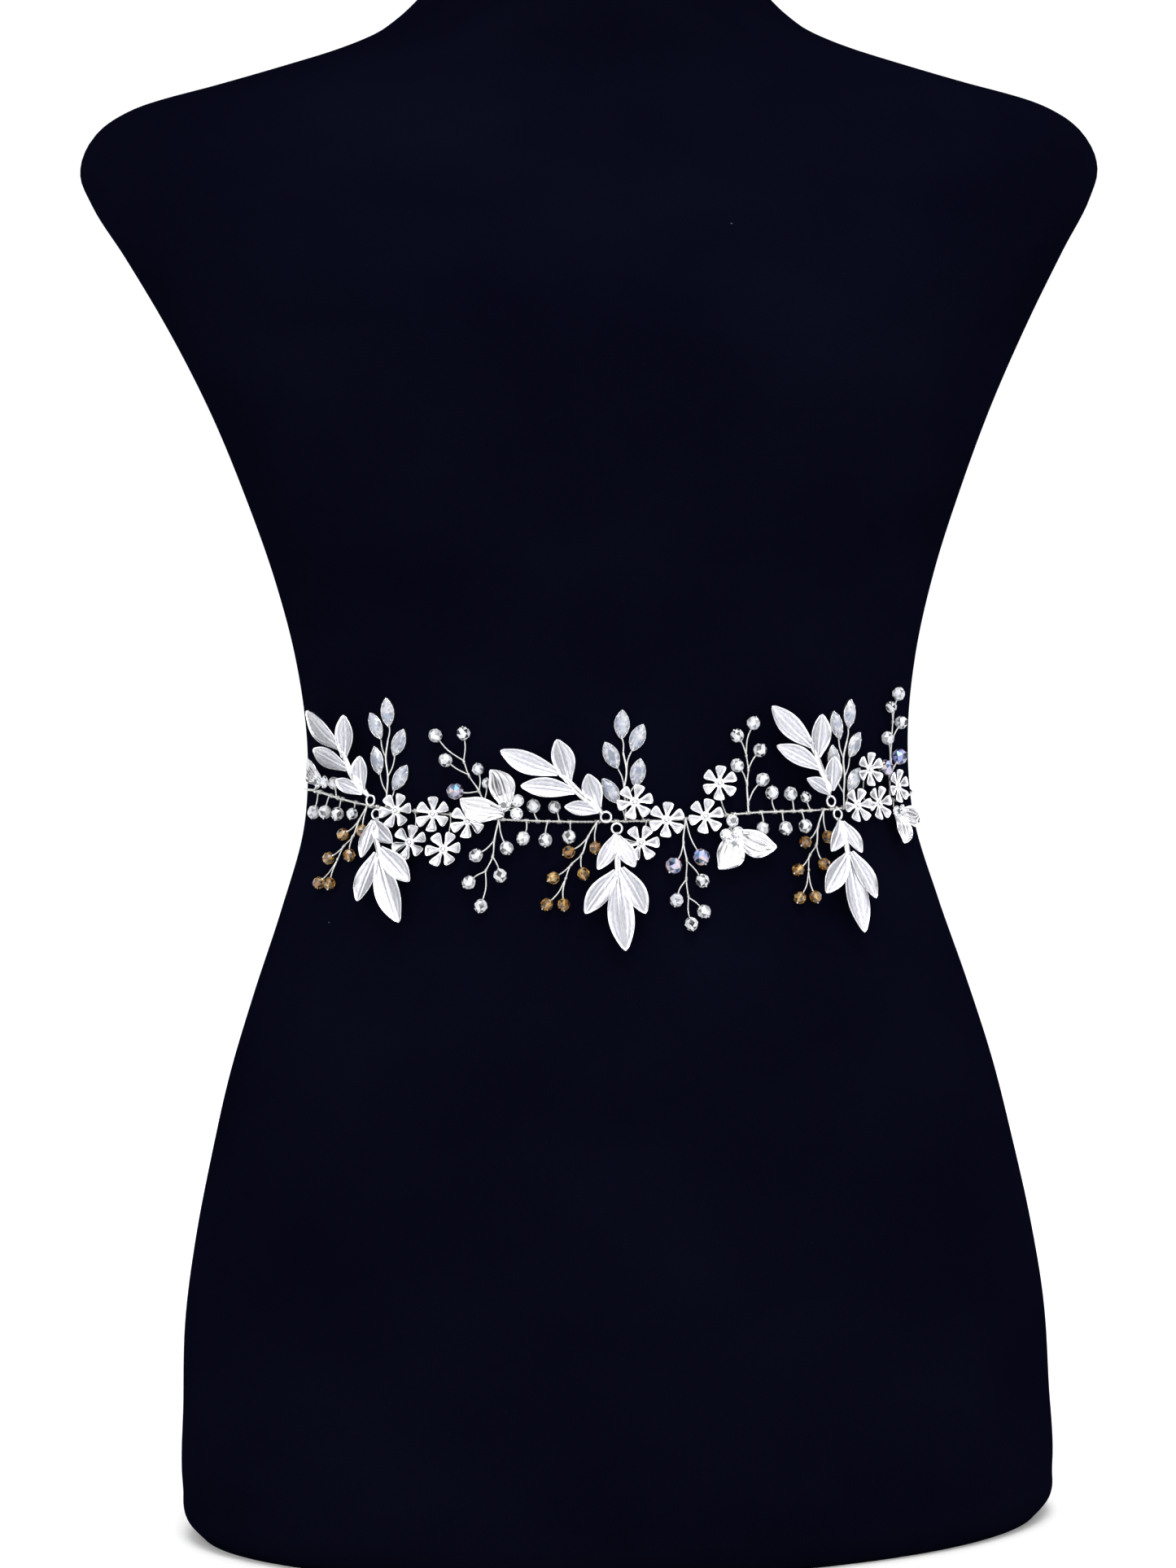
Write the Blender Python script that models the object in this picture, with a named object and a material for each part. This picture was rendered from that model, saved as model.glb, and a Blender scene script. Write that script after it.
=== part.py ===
"""Bridal vine sash worn on a limbless dress form.

The sash is laid out flat first and then wrapped round the waist. A place on it is
(s, h, w) in millimetres: s runs along the waist from centre front towards the wearer's
left, h is the height above the waist line, and w is how far out from the form's skin
the point lies. The form stands on its flat base at z = 0 and faces -Y.
"""
import math
from typing import NamedTuple

import bmesh
import bpy
import numpy as np

MM = 0.001

# The form
WAIST_HEIGHT = 300.0
FORM_COLUMNS = 36
FORM_BACK_SHIFT = 3.5

# Clearances, all in mm: every piece stays GAP away from what it rests on
GAP = 0.3
VINE_RADIUS = 0.5
WIRE_RADIUS = 0.45
VINE_OUT = GAP + VINE_RADIUS
WIRE_OUT = VINE_OUT + VINE_RADIUS + GAP + WIRE_RADIUS

# Stamped silver pieces
RING_RADIUS = 2.0
LEAF_THICKNESS = 0.6
LEAF_CUP = 0.9
SPRAY_LIFT = 5.0
SPRAY_LIFT_LENGTH = 5.5
FLOWER_RADIUS = 6.8
FLOWER_THICKNESS = 0.6
FLOWER_CUP = 0.9
FLOWER_LOW = 2.15
FLOWER_HIGH = 3.6

# Stones
BEAD_RADIUS = 2.75
TOPAZ_RADIUS = 2.55
AURORA_RADIUS = 3.3
OPAL_LENGTH = 11.0
OPAL_WIDTH = 5.6
OPAL_TOP = 3.1

# Satin ribbon that closes the sash at the back
RIBBON_WIDTH = 14.0
RIBBON_THICKNESS = 1.0
RIBBON_OUT = GAP + RIBBON_THICKNESS / 2
EYELET_RADIUS = 4.5
EYELET_WIRE = 0.6
EYELET_OUT = 2.3
KNOT_HALF = (9.0, 4.5, 8.5)


class Section(NamedTuple):
    """One level of the form: height, half width, depth to the front, depth to the back."""

    z: float
    half_width: float
    front: float
    back: float


SECTIONS = (
    Section(0, 171.5, 100, 106),
    Section(6, 177.1, 105, 111),
    Section(19, 179, 107.5, 114),
    Section(53, 178.4, 108, 117),
    Section(86, 177.1, 107, 118),
    Section(120, 172.2, 105, 117),
    Section(153, 165.3, 102, 113),
    Section(187, 157, 98, 105),
    Section(220, 146.5, 93.5, 95),
    Section(254, 134.7, 88, 84),
    Section(287, 125, 83, 75),
    Section(315, 123, 80.5, 71),
    Section(354, 126.9, 84, 74),
    Section(388, 135.1, 92, 81),
    Section(421, 146.1, 103, 90),
    Section(455, 159.4, 111, 98),
    Section(488, 175.3, 109, 104),
    Section(522, 194.4, 91, 107),
    Section(545, 207.2, 72, 107),
    Section(558, 213.9, 59, 105),
    Section(569, 211.3, 50, 102),
    Section(579, 204.1, 43, 98),
    Section(585, 189.3, 40, 95),
    Section(592, 163.8, 39, 91),
    Section(599, 136.7, 39, 87),
    Section(605, 114.1, 40, 83),
    Section(612, 94.5, 41, 79),
    Section(619, 83.1, 42, 76),
    Section(625, 75.8, 43, 73),
    Section(640, 62.8, 46, 67),
    Section(660, 55.3, 47, 62),
    Section(690, 52.3, 47, 60),
)
SECTION_TABLE = np.array(SECTIONS, dtype=float)
# Heights of the form's rings: close together where the waist curves in
FORM_LEVELS = (
    0, 6, 19, 60, 105, 150, 190, 222, 244, 258, 270, 282, 293, 304, 316, 330, 346, 366,
    388, 421, 455, 488, 522, 545, 558, 569, 579, 587, 596, 606, 617, 630, 655, 690,
)


class WirePoint(NamedTuple):
    """One bend of the main wire."""

    s: float
    h: float


VINE_ROUTE = (
    WirePoint(-184.0, 2.5),
    WirePoint(-160.0, 2.4),
    WirePoint(-134.4, 1.3),
    WirePoint(-119.9, -1.5),
    WirePoint(-105.0, -4.3),
    WirePoint(-74.5, -7.7),
    WirePoint(-48.2, -10.5),
    WirePoint(-20.0, -11.9),
    WirePoint(0.0, -12.0),
    WirePoint(28.0, -11.4),
    WirePoint(47.7, -9.8),
    WirePoint(74.5, -9.3),
    WirePoint(95.7, -8.2),
    WirePoint(125.0, -5.5),
    WirePoint(150.0, -3.0),
    WirePoint(176.0, -1.0),
)


class Leaf(NamedTuple):
    """One leaf: its base and tip, and its greatest width."""

    base_s: float
    base_h: float
    tip_s: float
    tip_h: float
    width: float


class Placement(NamedTuple):
    """A copy of a sprig: its name, its place, its turn in degrees, scale and mirror."""

    name: str
    s: float
    h: float
    turn: float = 0.0
    scale: float = 1.0
    mirror: int = 1


# Leaf places are measured from the centre of the spray's own ring
UPPER_SPRAY_LEAVES = (
    Leaf(-17.5, 17.0, -39.1, 26.5, 8.6),
    Leaf(-13.8, 13.5, -17.9, 30.6, 8.4),
    Leaf(-11.5, 9.6, -31.6, 12.2, 7.6),
    Leaf(-2.8, 3.2, -6.7, 16.4, 7.4),
    Leaf(-2.8, 2.0, -15.4, 3.7, 5.6),
)
UPPER_SPRAY_STEM = ((-1.3, 1.2), (-4.5, 4.4), (-10.2, 9.3), (-13.8, 13.5), (-18.2, 17.6))
LOWER_SPRAY_LEAVES = (
    Leaf(-0.5, -2.6, -7.3, -16.3, 5.9),
    Leaf(0.1, -3.2, 5.8, -15.6, 6.2),
    Leaf(-0.8, -17.0, -11.5, -33.0, 7.6),
    Leaf(0.9, -15.8, 8.9, -33.4, 7.6),
    Leaf(-0.4, -21.5, 1.8, -47.4, 9.0),
)
LOWER_SPRAY_STEM = ((0.0, -1.6), (-0.3, -8.0), (-0.2, -16.0), (-0.4, -22.5))
UPPER_SPRAYS = (
    Placement("leaf_spray_upper_left", -102.6, -2.4, -17.0),
    Placement("leaf_spray_upper_centre", -7.6, -10.4, 0.0),
    Placement("leaf_spray_upper_right", 84.2, -6.0, -20.0),
)
LOWER_SPRAYS = (
    Placement("leaf_spray_lower_left", -99.4, -7.9, 23.0),
    Placement("leaf_spray_lower_centre", -3.6, -14.9, 0.0),
    Placement("leaf_spray_lower_right", 86.7, -11.2, -7.0),
)


class Bead(NamedTuple):
    """A bead at the end of its wire, which leaves the stem at stem point number origin."""

    s: float
    h: float
    radius: float
    origin: int


# Places from the point where the sprig leaves the main wire
TOPAZ_STEM = ((0.0, 0.0), (-3.6, -6.2), (-5.9, -12.9), (-9.7, -16.8), (-11.6, -22.3))
TOPAZ_BEADS = (
    Bead(-10.6, -11.8, TOPAZ_RADIUS, 1),
    Bead(-0.8, -10.4, TOPAZ_RADIUS, 0),
    Bead(-15.9, -21.7, TOPAZ_RADIUS, 3),
    Bead(-5.1, -20.3, TOPAZ_RADIUS, 2),
    Bead(-17.7, -31.8, TOPAZ_RADIUS, 4),
    Bead(-11.8, -31.9, TOPAZ_RADIUS, 4),
)
TOPAZ_SPRIGS = (
    Placement("topaz_sprig_left", -104.0, -4.5, 0.0, 0.97),
    Placement("topaz_sprig_centre", -10.9, -11.9, 0.0, 1.0),
    Placement("topaz_sprig_right", 80.2, -9.1, 2.0, 1.06),
)


class Stone(NamedTuple):
    """A pointed oval stone: its middle, how far it leans, and its stem point."""

    s: float
    h: float
    lean: float
    origin: int


OPAL_STEM = ((0.0, 0.0), (0.0, 5.5), (0.3, 12.0), (-0.6, 19.5), (0.6, 26.5))
OPAL_STONES = (
    Stone(1.0, 37.5, -2.0, 4),
    Stone(-5.0, 32.3, -23.0, 3),
    Stone(5.2, 25.5, 25.0, 2),
    Stone(-5.0, 18.6, -12.0, 1),
    Stone(5.6, 11.6, 32.0, 0),
)
OPAL_SPRIGS = (
    Placement("opal_sprig_left", -95.0, -5.3),
    Placement("opal_sprig_centre", -0.2, -12.0, -0.6, 1.0, -1),
    Placement("opal_sprig_right", 90.3, -8.4, -6.0),
)


class Sprig(NamedTuple):
    """A wire sprig of round beads: its name, its stem from the main wire, its beads."""

    name: str
    stem: tuple
    beads: tuple


CRYSTAL_SPRIGS = (
    Sprig(
        "crystal_sprig_up_left",
        ((-52.9, -10.1), (-54.4, -4.0), (-56.3, 0.4), (-60.5, 6.9), (-62.4, 12.4)),
        (
            Bead(-73.3, 22.6, BEAD_RADIUS, 4),
            Bead(-61.9, 23.2, BEAD_RADIUS, 4),
            Bead(-69.4, 12.8, BEAD_RADIUS, 3),
            Bead(-56.6, 9.0, 2.4, 2),
            Bead(-65.3, 0.4, AURORA_RADIUS, 2),
            Bead(-53.2, 3.4, 2.1, 1),
        ),
    ),
    Sprig(
        "crystal_sprig_down_left",
        ((-48.3, -10.5), (-49.6, -18.7), (-49.7, -25.0), (-51.8, -30.6)),
        (
            Bead(-55.8, -24.6, BEAD_RADIUS, 1),
            Bead(-44.5, -21.9, BEAD_RADIUS, 0),
            Bead(-46.0, -32.4, BEAD_RADIUS, 2),
            Bead(-57.3, -35.0, BEAD_RADIUS, 3),
            Bead(-51.9, -44.0, BEAD_RADIUS, 3),
        ),
    ),
    Sprig(
        "aurora_sprig_down",
        ((22.7, -11.6), (21.2, -21.0), (21.9, -27.9), (21.1, -35.0), (21.3, -41.9)),
        (
            Bead(16.6, -29.9, AURORA_RADIUS, 1),
            Bead(27.2, -26.8, AURORA_RADIUS, 0),
            Bead(26.8, -35.8, BEAD_RADIUS, 2),
            Bead(16.8, -43.0, BEAD_RADIUS, 3),
            Bead(26.2, -47.6, BEAD_RADIUS, 4),
            Bead(21.3, -52.2, BEAD_RADIUS, 4),
        ),
    ),
    Sprig(
        "crystal_sprig_up_right",
        ((47.7, -9.8), (47.8, -6.1), (47.9, 1.4), (48.7, 7.2), (48.0, 13.0)),
        (
            Bead(50.7, 25.3, BEAD_RADIUS, 4),
            Bead(44.1, 20.5, BEAD_RADIUS, 4),
            Bead(53.4, 14.6, BEAD_RADIUS, 3),
            Bead(43.9, 8.7, BEAD_RADIUS, 2),
            Bead(54.1, 2.9, BEAD_RADIUS, 1),
        ),
    ),
    Sprig(
        "crystal_sprig_up_side",
        ((117.2, -6.2), (118.5, 2.0), (119.8, 10.0), (121.0, 18.0), (121.6, 26.0)),
        (
            Bead(122.9, 37.0, BEAD_RADIUS, 4),
            Bead(118.6, 31.6, 2.4, 4),
            Bead(126.9, 25.4, BEAD_RADIUS, 3),
            Bead(116.6, 19.0, BEAD_RADIUS, 2),
            Bead(124.6, 11.4, AURORA_RADIUS, 1),
            Bead(114.0, 7.0, AURORA_RADIUS, 1),
        ),
    ),
)


class RowBead(NamedTuple):
    """A bead on a short stalk: where the stalk leaves the row's wire, and its end."""

    foot_s: float
    s: float
    h: float
    radius: float


class BeadRow(NamedTuple):
    """A row of stalked beads on a wire that runs along the main wire."""

    name: str
    start_s: float
    end_s: float
    beads: tuple


BEAD_ROWS = (
    BeadRow(
        "bead_row_left",
        -136.0,
        -108.5,
        (
            RowBead(-134.0, -134.6, -7.0, BEAD_RADIUS),
            RowBead(-125.6, -126.3, -7.0, BEAD_RADIUS),
            RowBead(-118.2, -118.6, -7.7, BEAD_RADIUS),
            RowBead(-110.4, -110.8, -7.7, 2.4),
            RowBead(-121.0, -121.9, 4.6, 2.5),
        ),
    ),
    BeadRow(
        "bead_row_centre",
        -45.2,
        -13.0,
        (
            RowBead(-37.6, -38.6, -18.2, BEAD_RADIUS),
            RowBead(-29.6, -30.2, -19.0, BEAD_RADIUS),
            RowBead(-21.2, -21.4, -17.9, BEAD_RADIUS),
            RowBead(-33.4, -35.0, -5.8, BEAD_RADIUS),
            RowBead(-25.2, -27.0, -6.3, 2.5),
        ),
    ),
    BeadRow(
        "bead_row_right",
        50.6,
        76.4,
        (
            RowBead(53.0, 52.5, -16.2, BEAD_RADIUS),
            RowBead(61.8, 62.0, -16.3, BEAD_RADIUS),
            RowBead(70.2, 70.4, -15.6, BEAD_RADIUS),
            RowBead(58.8, 57.7, -2.3, BEAD_RADIUS),
            RowBead(66.8, 65.6, -2.8, BEAD_RADIUS),
            RowBead(74.2, 72.4, -4.2, 2.2),
        ),
    ),
)


class Flower(NamedTuple):
    """A stamped flower: its middle, its level, and where its own wire reaches the vine."""

    name: str
    s: float
    h: float
    level: float
    turn: float
    wire_s: float


FLOWERS = (
    Flower("flower_left_1", -89.6, -6.8, FLOWER_HIGH, 8.0, -89.6),
    Flower("flower_left_2", -74.5, -8.3, FLOWER_LOW, 30.0, -74.5),
    Flower("flower_left_3", -82.4, -19.4, FLOWER_HIGH, 20.0, -82.2),
    Flower("flower_left_4", -69.0, -22.0, FLOWER_LOW, 5.0, -67.3),
    Flower("flower_left_5", -60.2, -11.0, FLOWER_LOW, 27.0, -60.2),
    Flower("flower_centre_1", 3.3, -5.0, FLOWER_HIGH, 12.0, 6.5),
    Flower("flower_centre_2", 15.3, -12.0, FLOWER_LOW, 22.0, 15.3),
    Flower("flower_centre_3", 5.2, -20.8, FLOWER_LOW, 2.0, 7.9),
    Flower("flower_centre_4", 30.4, -10.9, FLOWER_LOW, 14.0, 30.4),
    Flower("flower_centre_5", 36.2, 1.8, FLOWER_HIGH, 24.0, 38.8),
    Flower("flower_right_1", 95.9, -8.0, FLOWER_HIGH, 6.0, 95.9),
    Flower("flower_right_2", 104.2, 6.4, FLOWER_HIGH, 25.0, 102.0),
    Flower("flower_right_3", 109.6, -7.2, FLOWER_LOW, 10.0, 109.6),
    Flower("flower_right_4", 121.8, -0.6, FLOWER_HIGH, 18.0, 123.2),
)


class LeafCluster(NamedTuple):
    """Broad curled leaves with small round stones, on a short wire from the vine."""

    name: str
    stem: tuple
    leaves: tuple
    stones: tuple


LEAF_CLUSTERS = (
    LeafCluster(
        "leaf_cluster_side_left",
        ((-138.6, 1.9), (-132.0, 5.2)),
        (Leaf(-130.0, 4.6, -138.5, 14.0, 9.0),),
        ((-132.6, 5.2), (-127.6, 5.2)),
    ),
    LeafCluster(
        "leaf_cluster_left",
        ((-46.9, -10.6), (-45.6, -6.4), (-42.0, -6.0)),
        (Leaf(-46.3, -8.2, -63.0, -4.6, 9.6), Leaf(-45.2, -6.2, -49.2, 9.0, 9.8)),
        ((-46.1, -5.4), (-41.0, -3.6), (-41.3, -8.7)),
    ),
    LeafCluster(
        "leaf_cluster_right",
        ((42.0, -10.9), (40.2, -14.5), (40.4, -18.4)),
        (Leaf(40.2, -17.9, 34.4, -32.6, 10.2), Leaf(40.6, -17.5, 54.9, -25.6, 10.6)),
        ((40.6, -12.9), (37.6, -18.4), (42.4, -17.6), (39.9, -22.0)),
    ),
    LeafCluster(
        "leaf_cluster_side_right",
        ((119.4, -6.0), (119.6, -11.6), (123.4, -11.4)),
        (Leaf(119.4, -11.2, 117.9, -24.6, 9.6), Leaf(122.0, -11.0, 133.4, -14.4, 9.0)),
        ((119.2, -11.0), (123.8, -10.6)),
    ),
)


class RibbonPoint(NamedTuple):
    """One place on a ribbon: along the waist from the eyelet, out, and its width."""

    along: float
    out: float
    width: float


class Look(NamedTuple):
    """A plain surface: colour, roughness, metallic value."""

    name: str
    colour: tuple
    roughness: float
    metallic: float


JERSEY = Look("form_jersey", (0.006, 0.007, 0.014, 1.0), 0.85, 0.0)
SILVER = Look("silver_metal", (0.86, 0.86, 0.88, 1.0), 0.25, 1.0)
CRYSTAL = Look("clear_crystal", (0.88, 0.90, 0.93, 1.0), 0.05, 0.0)
AURORA = Look("aurora_crystal", (0.62, 0.64, 0.86, 1.0), 0.05, 0.0)
TOPAZ = Look("topaz_crystal", (0.42, 0.19, 0.04, 1.0), 0.05, 0.0)
OPAL = Look("opal_stone", (0.74, 0.80, 0.93, 1.0), 0.15, 0.0)
SATIN = Look("ivory_satin", (0.86, 0.83, 0.78, 1.0), 0.35, 0.0)


def smooth(knots, values, x):
    """Smooth curve through (knots, values), read at x; its slopes come from neighbours."""
    x = np.clip(x, knots[0], knots[-1])
    step = np.diff(knots)
    slope = np.diff(values) / step
    tangent = np.empty_like(values)
    tangent[0] = slope[0]
    tangent[-1] = slope[-1]
    tangent[1:-1] = (slope[:-1] * step[1:] + slope[1:] * step[:-1]) / (step[:-1] + step[1:])
    i = np.clip(np.searchsorted(knots, x, side="right") - 1, 0, len(knots) - 2)
    t = (x - knots[i]) / step[i]
    start = (1 + 2 * t) * (1 - t) ** 2 * values[i]
    start_slope = t * (1 - t) ** 2 * step[i] * tangent[i]
    end = t * t * (3 - 2 * t) * values[i + 1]
    end_slope = t * t * (t - 1) * step[i] * tangent[i + 1]
    return start + start_slope + end + end_slope


def skin(angle, z):
    """Point of the form's surface: angle 0 is centre front, positive towards +X."""
    z = np.asarray(z, dtype=float)
    width = smooth(SECTION_TABLE[:, 0], SECTION_TABLE[:, 1], z)
    front = smooth(SECTION_TABLE[:, 0], SECTION_TABLE[:, 2], z)
    back = smooth(SECTION_TABLE[:, 0], SECTION_TABLE[:, 3], z)
    x = width * np.sin(angle)
    y = (back - front) / 2 - (back + front) / 2 * np.cos(angle) - FORM_BACK_SHIFT
    return np.stack([x, y, z + 0 * x], axis=-1)


def skin_normal(angle, z):
    """Outward direction of the form's surface."""
    across = skin(angle + 0.001, z) - skin(angle - 0.001, z)
    upward = skin(angle, z + 0.5) - skin(angle, z - 0.5)
    normal = np.cross(across, upward)
    return normal / np.linalg.norm(normal, axis=-1, keepdims=True)


WAIST_ANGLES = np.linspace(-math.pi, math.pi, 3601)
WAIST_POINTS = skin(WAIST_ANGLES, np.full_like(WAIST_ANGLES, WAIST_HEIGHT))
WAIST_STEPS = np.linalg.norm(np.diff(WAIST_POINTS, axis=0), axis=1)
HALF_GIRTH = float(WAIST_STEPS.sum() / 2)
WAIST_ARC = np.concatenate([[0.0], np.cumsum(WAIST_STEPS)]) - HALF_GIRTH


def wrap(points):
    """Carry (s, h, w) places on the flat sash to (x, y, z) on the form."""
    points = np.asarray(points, dtype=float)
    angle = np.interp(points[..., 0], WAIST_ARC, WAIST_ANGLES)
    z = WAIST_HEIGHT + points[..., 1]
    return skin(angle, z) + skin_normal(angle, z) * points[..., 2:3]


def vine_height(s):
    """Height of the main wire at s."""
    route = np.array(VINE_ROUTE, dtype=float)
    return float(smooth(route[:, 0], route[:, 1], s))


def on_vine(s, out=WIRE_OUT):
    """A place in front of the main wire, where a sprig is bound to it."""
    return (s, vine_height(s), out)


def local_frame(place):
    """Middle point and the along, up and outward directions at an (s, h, w) place."""
    s, h, w = place
    middle, beside, above, outside = wrap([(s, h, w), (s + 0.1, h, w), (s, h + 0.1, w), (s, h, w + 1)])
    outward = outside - middle
    along = beside - middle
    along -= outward * np.dot(along, outward)
    along /= np.linalg.norm(along)
    return middle, along, np.cross(outward, along), outward


def ring_faces(first, second, count):
    """Side faces between two rings of count points that start at these numbers."""
    return [
        (first + k, first + (k + 1) % count, second + (k + 1) % count, second + k)
        for k in range(count)
    ]


def stacked_rings(rings):
    """Closed shell from rings of points, all of one count, with flat ends."""
    count = len(rings[0])
    points = np.concatenate(rings)
    faces = []
    for level in range(len(rings) - 1):
        faces.extend(ring_faces(level * count, (level + 1) * count, count))
    last = (len(rings) - 1) * count
    faces.append(tuple(reversed(range(count))))
    faces.append(tuple(range(last, last + count)))
    return points, faces


def tube(route, radius, sides=4):
    """Round wire along a route of (s, h, w) places."""
    middles = wrap(route)
    out = np.asarray(route, dtype=float) + (0.0, 0.0, 1.0)
    outward = wrap(out) - middles
    ahead = np.gradient(middles, axis=0)
    ahead /= np.linalg.norm(ahead, axis=1, keepdims=True)
    up = outward - ahead * np.sum(outward * ahead, axis=1, keepdims=True)
    up /= np.linalg.norm(up, axis=1, keepdims=True)
    side = np.cross(ahead, up)
    turn = 2 * math.pi * (np.arange(sides) + 0.5) / sides
    rings = [
        middles[i] + radius * (np.outer(np.cos(turn), side[i]) + np.outer(np.sin(turn), up[i]))
        for i in range(len(middles))
    ]
    return stacked_rings(rings)


def bead(place, radius):
    """Faceted round bead with its widest belt at its middle."""
    middle, along, up, outward = local_frame(place)
    turn = 2 * math.pi * np.arange(6) / 6
    rings = []
    for level, size in ((-0.92, 0.5), (0.0, 1.0), (0.92, 0.5)):
        circle = np.outer(np.cos(turn), along) + np.outer(np.sin(turn), up)
        rings.append(middle + radius * (1.04 * size * circle + level * outward))
    return stacked_rings(rings)


def round_stone(place, radius):
    """Small round stone in its cup: narrow foot, wide girdle, flat table."""
    s, h = place
    middle, along, up, outward = local_frame((s, h, WIRE_OUT))
    turn = 2 * math.pi * np.arange(6) / 6
    circle = np.outer(np.cos(turn), along) + np.outer(np.sin(turn), up)
    rings = []
    for out, size in ((-0.3, 0.35), (1.9, 1.0), (3.1, 0.62)):
        rings.append(middle + radius * size * circle + out * outward)
    return stacked_rings(rings)


def pointed_stone(place, lean):
    """Pointed oval stone in its setting; lean is in degrees, to the right of upright."""
    s, h = place
    middle, along, up, outward = local_frame((s, h, GAP))
    tilt = math.radians(lean)
    length_way = up * math.cos(tilt) + along * math.sin(tilt)
    width_way = along * math.cos(tilt) - up * math.sin(tilt)
    outline = []
    for t, size in ((1.0, 0.0), (0.4, 0.92), (-0.4, 0.92), (-1.0, 0.0)):
        outline.append((t * OPAL_LENGTH / 2, size * OPAL_WIDTH / 2))
    around = outline + [(t, -size) for t, size in reversed(outline[1:-1])]
    oval = np.array([t * length_way + size * width_way for t, size in around])[::-1]
    rings = []
    for out, size in ((0.0, 0.8), (1.5, 1.0), (OPAL_TOP - GAP, 0.55)):
        rings.append(middle + size * oval + out * outward)
    return stacked_rings(rings)


def closed_ring(place, radius, wire, around=9, sides=4):
    """Wire ring that lies flat against the form."""
    middle, along, up, outward = local_frame(place)
    points = []
    for i in range(around):
        turn = 2 * math.pi * i / around
        spoke = along * math.cos(turn) + up * math.sin(turn)
        for j in range(sides):
            roll = 2 * math.pi * j / sides
            points.append(middle + spoke * (radius + wire * math.cos(roll)) + outward * wire * math.sin(roll))
    faces = []
    for i in range(around):
        for j in range(sides):
            a = i * sides + j
            b = i * sides + (j + 1) % sides
            c = ((i + 1) % around) * sides + (j + 1) % sides
            d = ((i + 1) % around) * sides + j
            faces.append((a, d, c, b))
    return np.array(points), faces


LEAF_STATIONS = ((0.0, 0.16), (0.16, 0.62), (0.38, 1.0), (0.62, 0.94), (0.85, 0.52), (1.0, 0.06))


def leaf(shape, lift, curl=0.0):
    """Cupped leaf plate: rims raised above the midrib, tip bent out by curl."""
    base = np.array([shape.base_s, shape.base_h])
    tip = np.array([shape.tip_s, shape.tip_h])
    length = np.linalg.norm(tip - base)
    ahead = (tip - base) / length
    side = np.array([-ahead[1], ahead[0]])
    top = []
    for t, size in LEAF_STATIONS:
        for u in (-1.0, 0.0, 1.0):
            flat = base + ahead * length * t + side * u * size * shape.width / 2
            out = lift(base + ahead * length * t) + LEAF_CUP * u * u * size + curl * t ** 3
            top.append((flat[0], flat[1], out))
    top = np.array(top)
    under = top - (0.0, 0.0, LEAF_THICKNESS)
    count = len(top)
    faces = []
    for i in range(len(LEAF_STATIONS) - 1):
        a = 3 * i
        for j in (0, 1):
            faces.append((a + j, a + j + 3, a + j + 4, a + j + 1))
            faces.append((count + a + j, count + a + j + 1, count + a + j + 4, count + a + j + 3))
        faces.append((a, count + a, count + a + 3, a + 3))
        faces.append((a + 2, a + 5, count + a + 5, count + a + 2))
    last = count - 3
    for j in (0, 1):
        faces.append((j, j + 1, count + j + 1, count + j))
        faces.append((last + j, count + last + j, count + last + j + 1, last + j + 1))
    return wrap(np.concatenate([top, under])), [tuple(reversed(face)) for face in faces]


PETAL_OUTLINE = ((-30.0, 0.30), (-20.0, 0.86), (0.0, 1.02), (20.0, 0.86))


def flower(item):
    """Six flared petals round a raised middle; the back runs down to the flower's wire."""
    s, h, level = item.s, item.h, item.level
    top = [(0.0, 0.0, 1.3)]
    for k in range(6):
        turn = math.radians(item.turn + 60 * k)
        top.append((1.2 * math.cos(turn), 1.2 * math.sin(turn), 1.0))
    for k in range(12):
        turn = math.radians(item.turn - 30 + 30 * k)
        top.append((1.75 * math.cos(turn), 1.75 * math.sin(turn), 0.1))
    for k in range(6):
        for angle, reach in PETAL_OUTLINE:
            turn = math.radians(item.turn + 60 * k + angle)
            radius = FLOWER_RADIUS * reach
            out = FLOWER_CUP * reach ** 2
            top.append((radius * math.cos(turn), radius * math.sin(turn), out))
    top = np.array(top)
    boss, inner, outline = 1, 7, 19
    under = top[inner:] - (0.0, 0.0, FLOWER_THICKNESS)
    back_tip = np.array([(0.0, 0.0, GAP - level)])
    on_main_wire = abs(item.h - vine_height(item.s)) < 2.0
    if on_main_wire:
        back_tip[0, 2] = VINE_OUT + VINE_RADIUS + GAP - level
    points = np.concatenate([top, under, back_tip])
    low = len(top) - inner
    tip = len(points) - 1
    faces = []
    for k in range(6):
        a = boss + k
        b = boss + (k + 1) % 6
        notch = inner + 2 * k
        axis = notch + 1
        following = inner + (2 * k + 2) % 12
        edge = [outline + (4 * k + j) % 24 for j in range(5)]
        faces.append((0, a, b))
        faces.append((a, axis, following))
        faces.append((a, following, b))
        faces.append((a, notch, axis))
        faces.append((b, following, inner + (2 * k + 3) % 12))
        petal = (
            (notch, edge[0], edge[1]),
            (notch, edge[1], axis),
            (axis, edge[1], edge[2]),
            (axis, edge[2], edge[3]),
            (axis, edge[3], following),
            (following, edge[3], edge[4]),
        )
        faces.extend(petal)
        faces.extend(tuple(low + v for v in reversed(face)) for face in petal)
        faces.append((tip, low + axis, low + notch))
        faces.append((tip, low + following, low + axis))
        for j in range(4):
            faces.append((edge[j], low + edge[j], low + edge[j + 1], edge[j + 1]))
    return wrap(points + (s, h, level)), faces


def boss_faces(faces):
    """Drop the doubled wedge faces that neighbouring petals both list."""
    seen = set()
    kept = []
    for face in faces:
        key = tuple(sorted(face))
        if key not in seen:
            seen.add(key)
            kept.append(face)
    return kept


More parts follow.
